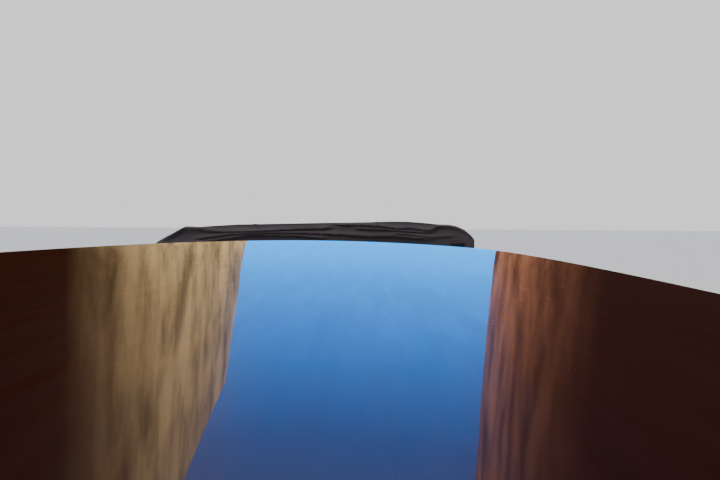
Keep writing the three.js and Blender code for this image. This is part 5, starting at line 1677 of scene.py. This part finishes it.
    def seated(self, bm, x, y):
        """Sets a fitting on the deck, square to its slope there."""
        reach = 0.04
        slope_y = (deck_z(x, y + reach) - deck_z(x, y - reach)) / (2 * reach)
        slope_x = (deck_z(x + reach, y) - deck_z(x - reach, y)) / (2 * reach)
        return moved(bm, Matrix.Translation((x, y, deck_z(x, y) - 0.001)) @ turn_to((-slope_x, -slope_y, 1)))

    def cleat(self, x, y):
        foot = plate(box_corners(-0.022, 0.022, -0.075, 0.075), 0.01, "lying", 0, radius=0.02)
        horn = [(0, a, 0.044 + 0.012 * (abs(a) / 0.125) ** 2) for a in
                (-0.125, -0.122, -0.112, -0.09, -0.05, 0, 0.05, 0.09, 0.112, 0.122, 0.125)]
        arms = tube(horn, 0.013, scale=[0.3, 0.6, 0.75, 0.85, 1, 1.05, 1, 0.85, 0.75, 0.6, 0.3])
        posts = [turned([(0, 0), (0.018, 0), (0.0125, 0.014), (0.011, 0.044), (0, 0.044)],
                        (0, a, 0), steps=20) for a in (-0.038, 0.038)]
        return self.seated(joined(foot, arms, *posts), x, y)

    def staff(self):
        """A raked pole in its socket, with the stern light at its head."""
        foot = Vector((0, -4.335, deck_z(0, -4.335) - 0.002))
        head = foot + Vector((0, -0.085, 0.82))
        socket = turned([(0, 0.001), (0.034, 0.001), (0.034, 0.008), (0.027, 0.014), (0.025, 0.056),
                         (0.028, 0.058), (0.028, 0.062), (0.017, 0.063), (0, 0.063)], foot)
        piece("staff_socket", socket, "bright_steel", replaces="stern_staff")
        pole = tube([foot.lerp(head, 0.02 + 0.98 * k / 12) for k in range(13)], 0.015, up=(1, 0, 0),
                    scale=[1 - 0.27 * k / 12 for k in range(13)])
        piece("staff_pole", pole, "upright_varnish", replaces="stern_staff")
        at = head + Vector((0, 0, 0.018))
        lamp = turned([(0, -0.026), (0.016, -0.022), (0.027, -0.008), (0.0285, 0.004), (0.024, 0.016),
                       (0.014, 0.026), (0, 0.029)], at)
        piece("stern_light_glass", lamp, "clear_glass")
        cap = turned([(0, 0.0296), (0.02, 0.0225), (0.027, 0.012), (0.028, 0.012), (0.02, 0.028),
                      (0, 0.031)], at)
        piece("stern_light_cap", cap, "bright_steel")


class TAXI_OT_running_gear(Operator):
    """Propeller, shaft, strut, rudder and engine"""

    bl_idname = "taxi.running_gear"
    bl_label = "Running gear and engine"

    def execute(self, context):
        piece("propeller_casting", copied("propeller"), "bronze", "propeller", "propeller", sharp=55)
        piece("rudder_and_stock", copied("rudder"), "bronze", "rudder", "rudder", ease=0.003)
        piece("strut_casting", copied("shaft_strut"), "bronze", replaces="shaft_strut", ease=0.002)
        refinish("bright_steel", "propeller_shaft")
        self.engine()
        return {"FINISHED"}

    def engine(self):
        """The engine as it shows under its hatch: block, covers, belt drive, filter, pipes and mounts."""
        low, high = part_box("engine")
        y0, y1 = low.y, high.y
        for name, finish, parts in (
                ("engine_beds", "hull_varnish", self.beds(y0, y1, low.z + 0.06)),
                ("engine_block", "engine_paint", self.block(y0, y1)),
                ("rocker_cover_and_filter", "engine_cover", self.cover(y0, y1)),
                ("belt_pulleys", "dull_steel", self.pulleys(y0, y1)),
                ("engine_hoses", "black_rubber", self.hoses(y1)),
                ("exhaust_manifold", "dull_steel", self.manifold(y0))):
            piece(name, joined(*parts), finish, replaces="engine")

    def beds(self, y0, y1, foot):
        return [slab((side * 0.3 - 0.03, y0, foot), (side * 0.3 + 0.03, y1, -0.085), 0.006)
                for side in (-1, 1)]

    def block(self, y0, y1):
        """Cylinder block, bell housing, head and sump, and a mount at each corner."""
        parts = [slab((-0.19, y0 + 0.06, -0.13), (0.19, y1 - 0.1, 0.2), 0.02, 3),
                 slab((-0.24, y0 + 0.02, 0.02), (0.24, y0 + 0.09, 0.16), 0.015, 3),
                 slab((-0.15, y0 + 0.07, 0.2), (0.15, y1 - 0.11, 0.31), 0.012, 3),
                 slab((-0.12, y0 + 0.06, -0.185), (0.12, y1 - 0.16, -0.13), 0.012, 3)]
        parts += [slab((side * 0.245 - 0.055, y, -0.085), (side * 0.245 + 0.055, y + 0.07, -0.03), 0.008)
                  for side in (-1, 1) for y in (y0 + 0.12, y1 - 0.2)]
        return parts

    def cover(self, y0, y1):
        """Ribbed cover with its filler cap, and the air filter beside it."""
        parts = [slab((-0.105, y0 + 0.09, 0.31), (0.105, y1 - 0.13, 0.372), 0.022, 4)]
        parts += [slab((-0.085 + 0.034 * k, y0 + 0.12, 0.37), (-0.075 + 0.034 * k, y1 - 0.16, 0.378), 0.002)
                  for k in range(6)]
        filler = turned([(0, 0), (0.03, 0), (0.03, 0.012), (0.024, 0.02), (0, 0.022)], (0, y0 + 0.15, 0.372))
        air_filter = turned([(0, 0), (0.06, 0), (0.066, 0.006), (0.066, 0.17), (0.06, 0.18), (0, 0.18)],
                            (0.21, y0 + 0.2, 0.29), (0, 1, 0))
        return [*parts, filler, air_filter]

    def pulleys(self, y0, y1):
        """Three grooved pulleys, the dynamo behind one of them, and the cover's bolts."""
        parts = [turned([(0, 0), (r * 0.3, 0), (r * 0.3, 0.02), (r * 0.45, 0.02), (r * 0.9, 0.008),
                         (r, 0.008), (r * 0.94, 0.018), (r, 0.028), (r * 0.9, 0.03), (r * 0.4, 0.034),
                         (0, 0.034)], (x, y1 - 0.1, z), (0, 1, 0), 36)
                 for x, z, r in ((0, 0.03, 0.085), (0, 0.21, 0.06), (-0.17, 0.16, 0.04))]
        dynamo = turned([(0, 0), (0.052, 0), (0.056, 0.01), (0.056, 0.09), (0.045, 0.1), (0, 0.1)],
                        (-0.17, y1 - 0.21, 0.16), (0, 1, 0), 28)
        bolts = [turned([(0.004, 0), (0.004, 0.008), (0, 0.008)], (x, y, 0.371), steps=6)
                 for x in (-0.094, 0.094) for y in (y0 + 0.13, y0 + 0.25, y1 - 0.2)]
        return [*parts, dynamo, *bolts]

    def hoses(self, y1):
        """The belt round the pulleys, and the two hoses of the cooling water."""
        belt = [(0.083, 0.03), (0.06, -0.03), (0, -0.053), (-0.06, -0.03), (-0.209, 0.15), (-0.205, 0.185),
                (-0.17, 0.199), (-0.04, 0.255), (0, 0.269), (0.045, 0.25), (0.06, 0.21)]
        loop = tube([(x, y1 - 0.082, z) for x, z in belt], 0.0055, up=(0, 1, 0), closed=True, sides=8)
        runs = (
            [(-0.13, 0.1, 0.25), (-0.19, 0.09, 0.29), (-0.25, 0.14, 0.27), (-0.265, 0.24, 0.15),
             (-0.262, 0.3, 0.02)],
            [(0.13, 0.13, 0.22), (0.19, 0.12, 0.2), (0.25, 0.16, 0.1), (0.255, 0.26, -0.03)])
        return [loop, *[tube([(x, y1 - back, z) for x, back, z in path], 0.019, up=(1, 0.3, 0.2), sides=14)
                        for path in runs]]

    def manifold(self, y0):
        """Three branches into one exhaust pipe."""
        branches = [tube([(0.15, y, 0.16), (0.2, y, 0.15), (0.225, y, 0.12)], 0.02, up=(0, 1, 0), sides=14)
                    for y in (y0 + 0.14, y0 + 0.24, y0 + 0.34)]
        return [*branches, tube([(0.23, y0 + on, 0.115) for on in (0.08, 0.12, 0.36, 0.4)], 0.03,
                                scale=[0.6, 1, 1, 0.6])]


# Stage

class TAXI_OT_stage(Operator):
    """Pale floor at the waterline, soft studio light and the camera"""

    bl_idname = "taxi.stage"
    bl_label = "Stage"

    def execute(self, context):
        settings = context.scene.taxi_stage
        self.camera(context, settings)
        self.floor(settings)
        self.sky(context)
        self.lights(settings)
        return {"FINISHED"}

    def camera(self, context, settings):
        yaw, pitch, roll = (math.radians(a) for a in (-1.5, -1.946, -0.337))
        ahead = Vector((math.sin(yaw) * math.cos(pitch), math.cos(yaw) * math.cos(pitch), math.sin(pitch)))
        level = Vector((math.cos(yaw), -math.sin(yaw), 0))
        right = math.cos(roll) * level - math.sin(roll) * level.cross(ahead)
        data = bpy.data.cameras.new("view")
        data.sensor_width, data.lens, data.clip_start, data.clip_end = 36, settings.lens, 0.02, 400
        camera = bpy.data.objects.new("view", data)
        camera.matrix_world = (Matrix.Translation((0.3407, -1.8923, 1.6668))
                               @ Matrix((right, right.cross(ahead), -ahead)).transposed().to_4x4())
        context.scene.collection.objects.link(camera)
        context.scene.camera = camera

    def floor(self, settings):
        bm = bmesh.new()
        ring(bm, box_corners(-120, 120, -120, 120), 0)
        half = [(self.afloat(y) - 0.02, y) for y in spread(TRANSOM_Y + 0.02, 3.9, 60)]
        ring(bm, half + [(-x, y) for x, y in reversed(half)], 0)
        bmesh.ops.triangle_fill(bm, edges=bm.edges[:], use_beauty=True)
        for face in bm.faces:
            if face.normal.z < 0:
                face.normal_flip()
        floor = mesh_object("floor", bm)
        f = Finish("floor", roughness=0.7)
        tone = settings.floor_tone[:]
        f.tone(f.ramp(f.noise(f.place(), 0.4, 3), (0.3, tinted(tone, 0.97)), (0.7, tone)))
        floor.data.materials.append(f.material)
        floor.visible_glossy = False

    def afloat(self, y):
        """Half the breadth at the waterline; inside it the floor is open, and the hull shows to its keel."""
        if chine_z(y) < 0:
            return side_point(y, -chine_z(y) / (sheer_z(y) - chine_z(y)))[0]
        return max(bottom_point(y, k / 200)[0] for k in range(201) if bottom_point(y, k / 200)[2] <= 0)

    def sky(self, context):
        """An even pale surround; bright things reflect a sky that deepens upwards."""
        world = bpy.data.worlds.new("studio")
        context.scene.world = world
        world.use_nodes = True
        sky = Tree(world.node_tree)
        sky.nodes.clear()
        # height of the direction, and its tone: the floor's up to just under the horizon, then the sky's
        stops = [(-0.1, (0.06, 0.055, 0.05)), (-0.07, (0.04, 0.045, 0.05)), (-0.05, (0.02, 0.34, 0.95)),
                 (0.07, (0.018, 0.34, 1.0)), (0.143, (0.022, 0.27, 0.87)), (0.23, (0.02, 0.205, 0.76)),
                 (0.31, (0.026, 0.149, 0.53)), (0.41, (0.03, 0.093, 0.33)), (1.0, (0.21, 0.17, 0.16))]
        lowest = stops[0][0]
        height = sky.axes(sky.node("TexCoord", {}).outputs["Generated"])[2]
        tones = sky.ramp(sky.span(height, lowest, 1.0),
                         *[((at - lowest) / (1 - lowest), tone) for at, tone in stops])
        ray = sky.node("LightPath", {}).outputs
        seen = sky.math("MAXIMUM", ray["Is Camera Ray"], ray["Is Transmission Ray"], use_clamp=True)
        mirrored = sky.math("SUBTRACT", ray["Is Glossy Ray"], ray["Is Transmission Ray"], use_clamp=True)
        shown = sky.node("Background", {0: (0.9, 0.92, 0.95), 1: 0.45})
        for share, tone, strength in ((seen, (0.92, 0.93, 0.95), 1.15), (mirrored, tones, 2.3)):
            light = sky.node("Background", {0: tone, 1: strength})
            shown = sky.node("MixShader", {0: share, 1: shown.outputs[0], 2: light.outputs[0]})
        sky.node("OutputWorld", {0: shown.outputs[0]})

    def lights(self, settings):
        # name, direction it comes from, strength, colour
        rows = [("key", (-7, -6, 7), settings.key_strength, (1.0, 0.96, 0.9)),
                ("fill", (8, 3, 6), settings.fill_strength, (0.92, 0.96, 1.0)),
                ("front", (2, 10, 7), settings.fill_strength, (0.95, 0.97, 1.0))]
        for name, source, strength, tone in rows:
            data = bpy.data.lights.new(name, "SUN")
            data.energy, data.angle, data.color = strength, settings.softness, tone
            lamp = bpy.data.objects.new(name, data)
            lamp.location = source
            lamp.rotation_euler = (-Vector(source)).to_track_quat("-Z", "Y").to_euler()
            lamp.visible_camera = lamp.visible_glossy = False
            bpy.context.scene.collection.objects.link(lamp)
        # x, where it starts and ends in y, how far its end leans back up to the top, how fast it is cut back
        # above the bend, the tone near the boat's stern and the tone ahead, and where one turns
        # into the other
        self.card("card_port", -3.5, -6, 15.0, 2.9, 20, (0.03, 0.009, 0.004), (0.62, 0.42, 0.2), (4.8, 8.2))
        self.card("card_starboard", 3.5, -6, 12.3, 0.2, 0, (0.035, 0.013, 0.01), (0.42, 0.17, 0.09),
                  (5.5, 11))

    def card(self, name, x, start, end, lean, cut, near, tone, turn):
        """A plain warm panel beside the boat, that only glossy surfaces show."""
        height, bend = 9, 0.74

        def place(u, v):
            return x, mix(start, end - lean * v - cut * max(0, v - bend), u), height * v

        card = mesh_object(name, surface(2, 50, place))
        f = Finish(name)
        patch = f.noise(f.place((1, 1.6, 0.5)), 0.9, 4, 0.6)
        lit = f.ramp(patch, (0.34, tinted(tone, 0.3)), (0.62, tinted(tone, 1.3)))
        _, ahead, _ = f.axes(f.place())
        f.show(f.node("Emission", {"Color": f.blend(f.span(ahead, *turn), near, lit), "Strength": 1.0}))
        card.data.materials.append(f.material)
        for kind in ("camera", "diffuse", "transmission", "shadow", "volume_scatter"):
            setattr(card, f"visible_{kind}", False)


class TAXI_PT_panel(Panel):
    """Lists the steps that dress the boat, in their order"""

    bl_label = "Water taxi"
    bl_idname = "TAXI_PT_panel"
    bl_space_type = "VIEW_3D"
    bl_region_type = "UI"
    bl_category = "Water taxi"

    def draw(self, context):
        for operator in OPERATORS:
            self.layout.operator(operator.bl_idname)
        for group in SETTINGS:
            holder = getattr(context.scene, group)
            for name in holder.__annotations__:
                self.layout.prop(holder, name)


SETTINGS = {"taxi_finishes": TaxiFinishes, "taxi_sizes": TaxiSizes, "taxi_stage": TaxiStage}
OPERATORS = (
    TAXI_OT_stage, TAXI_OT_hull, TAXI_OT_rails, TAXI_OT_decks, TAXI_OT_cabin, TAXI_OT_roof, TAXI_OT_doors,
    TAXI_OT_wells, TAXI_OT_seats, TAXI_OT_helm, TAXI_OT_windscreen, TAXI_OT_hood, TAXI_OT_fittings,
    TAXI_OT_running_gear,
)


def register():
    for group in SETTINGS.values():
        bpy.utils.register_class(group)
    for name, group in SETTINGS.items():
        setattr(bpy.types.Scene, name, PointerProperty(type=group))
    for operator in OPERATORS:
        bpy.utils.register_class(operator)
    bpy.utils.register_class(TAXI_PT_panel)


def unregister():
    bpy.utils.unregister_class(TAXI_PT_panel)
    for operator in reversed(OPERATORS):
        bpy.utils.unregister_class(operator)
    for name, group in SETTINGS.items():
        delattr(bpy.types.Scene, name)
        bpy.utils.unregister_class(group)


def main():
    register()
    for operator in OPERATORS:
        group, name = operator.bl_idname.split(".")
        getattr(getattr(bpy.ops, group), name)()
    left = [name for name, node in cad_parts.items()
            if not node.hide_render and not any(s.material in MADE.values() for s in node.material_slots)]
    if left:
        raise RuntimeError(f"these nodes have no finish yet: {left}")


if __name__ == "__main__":
    main()
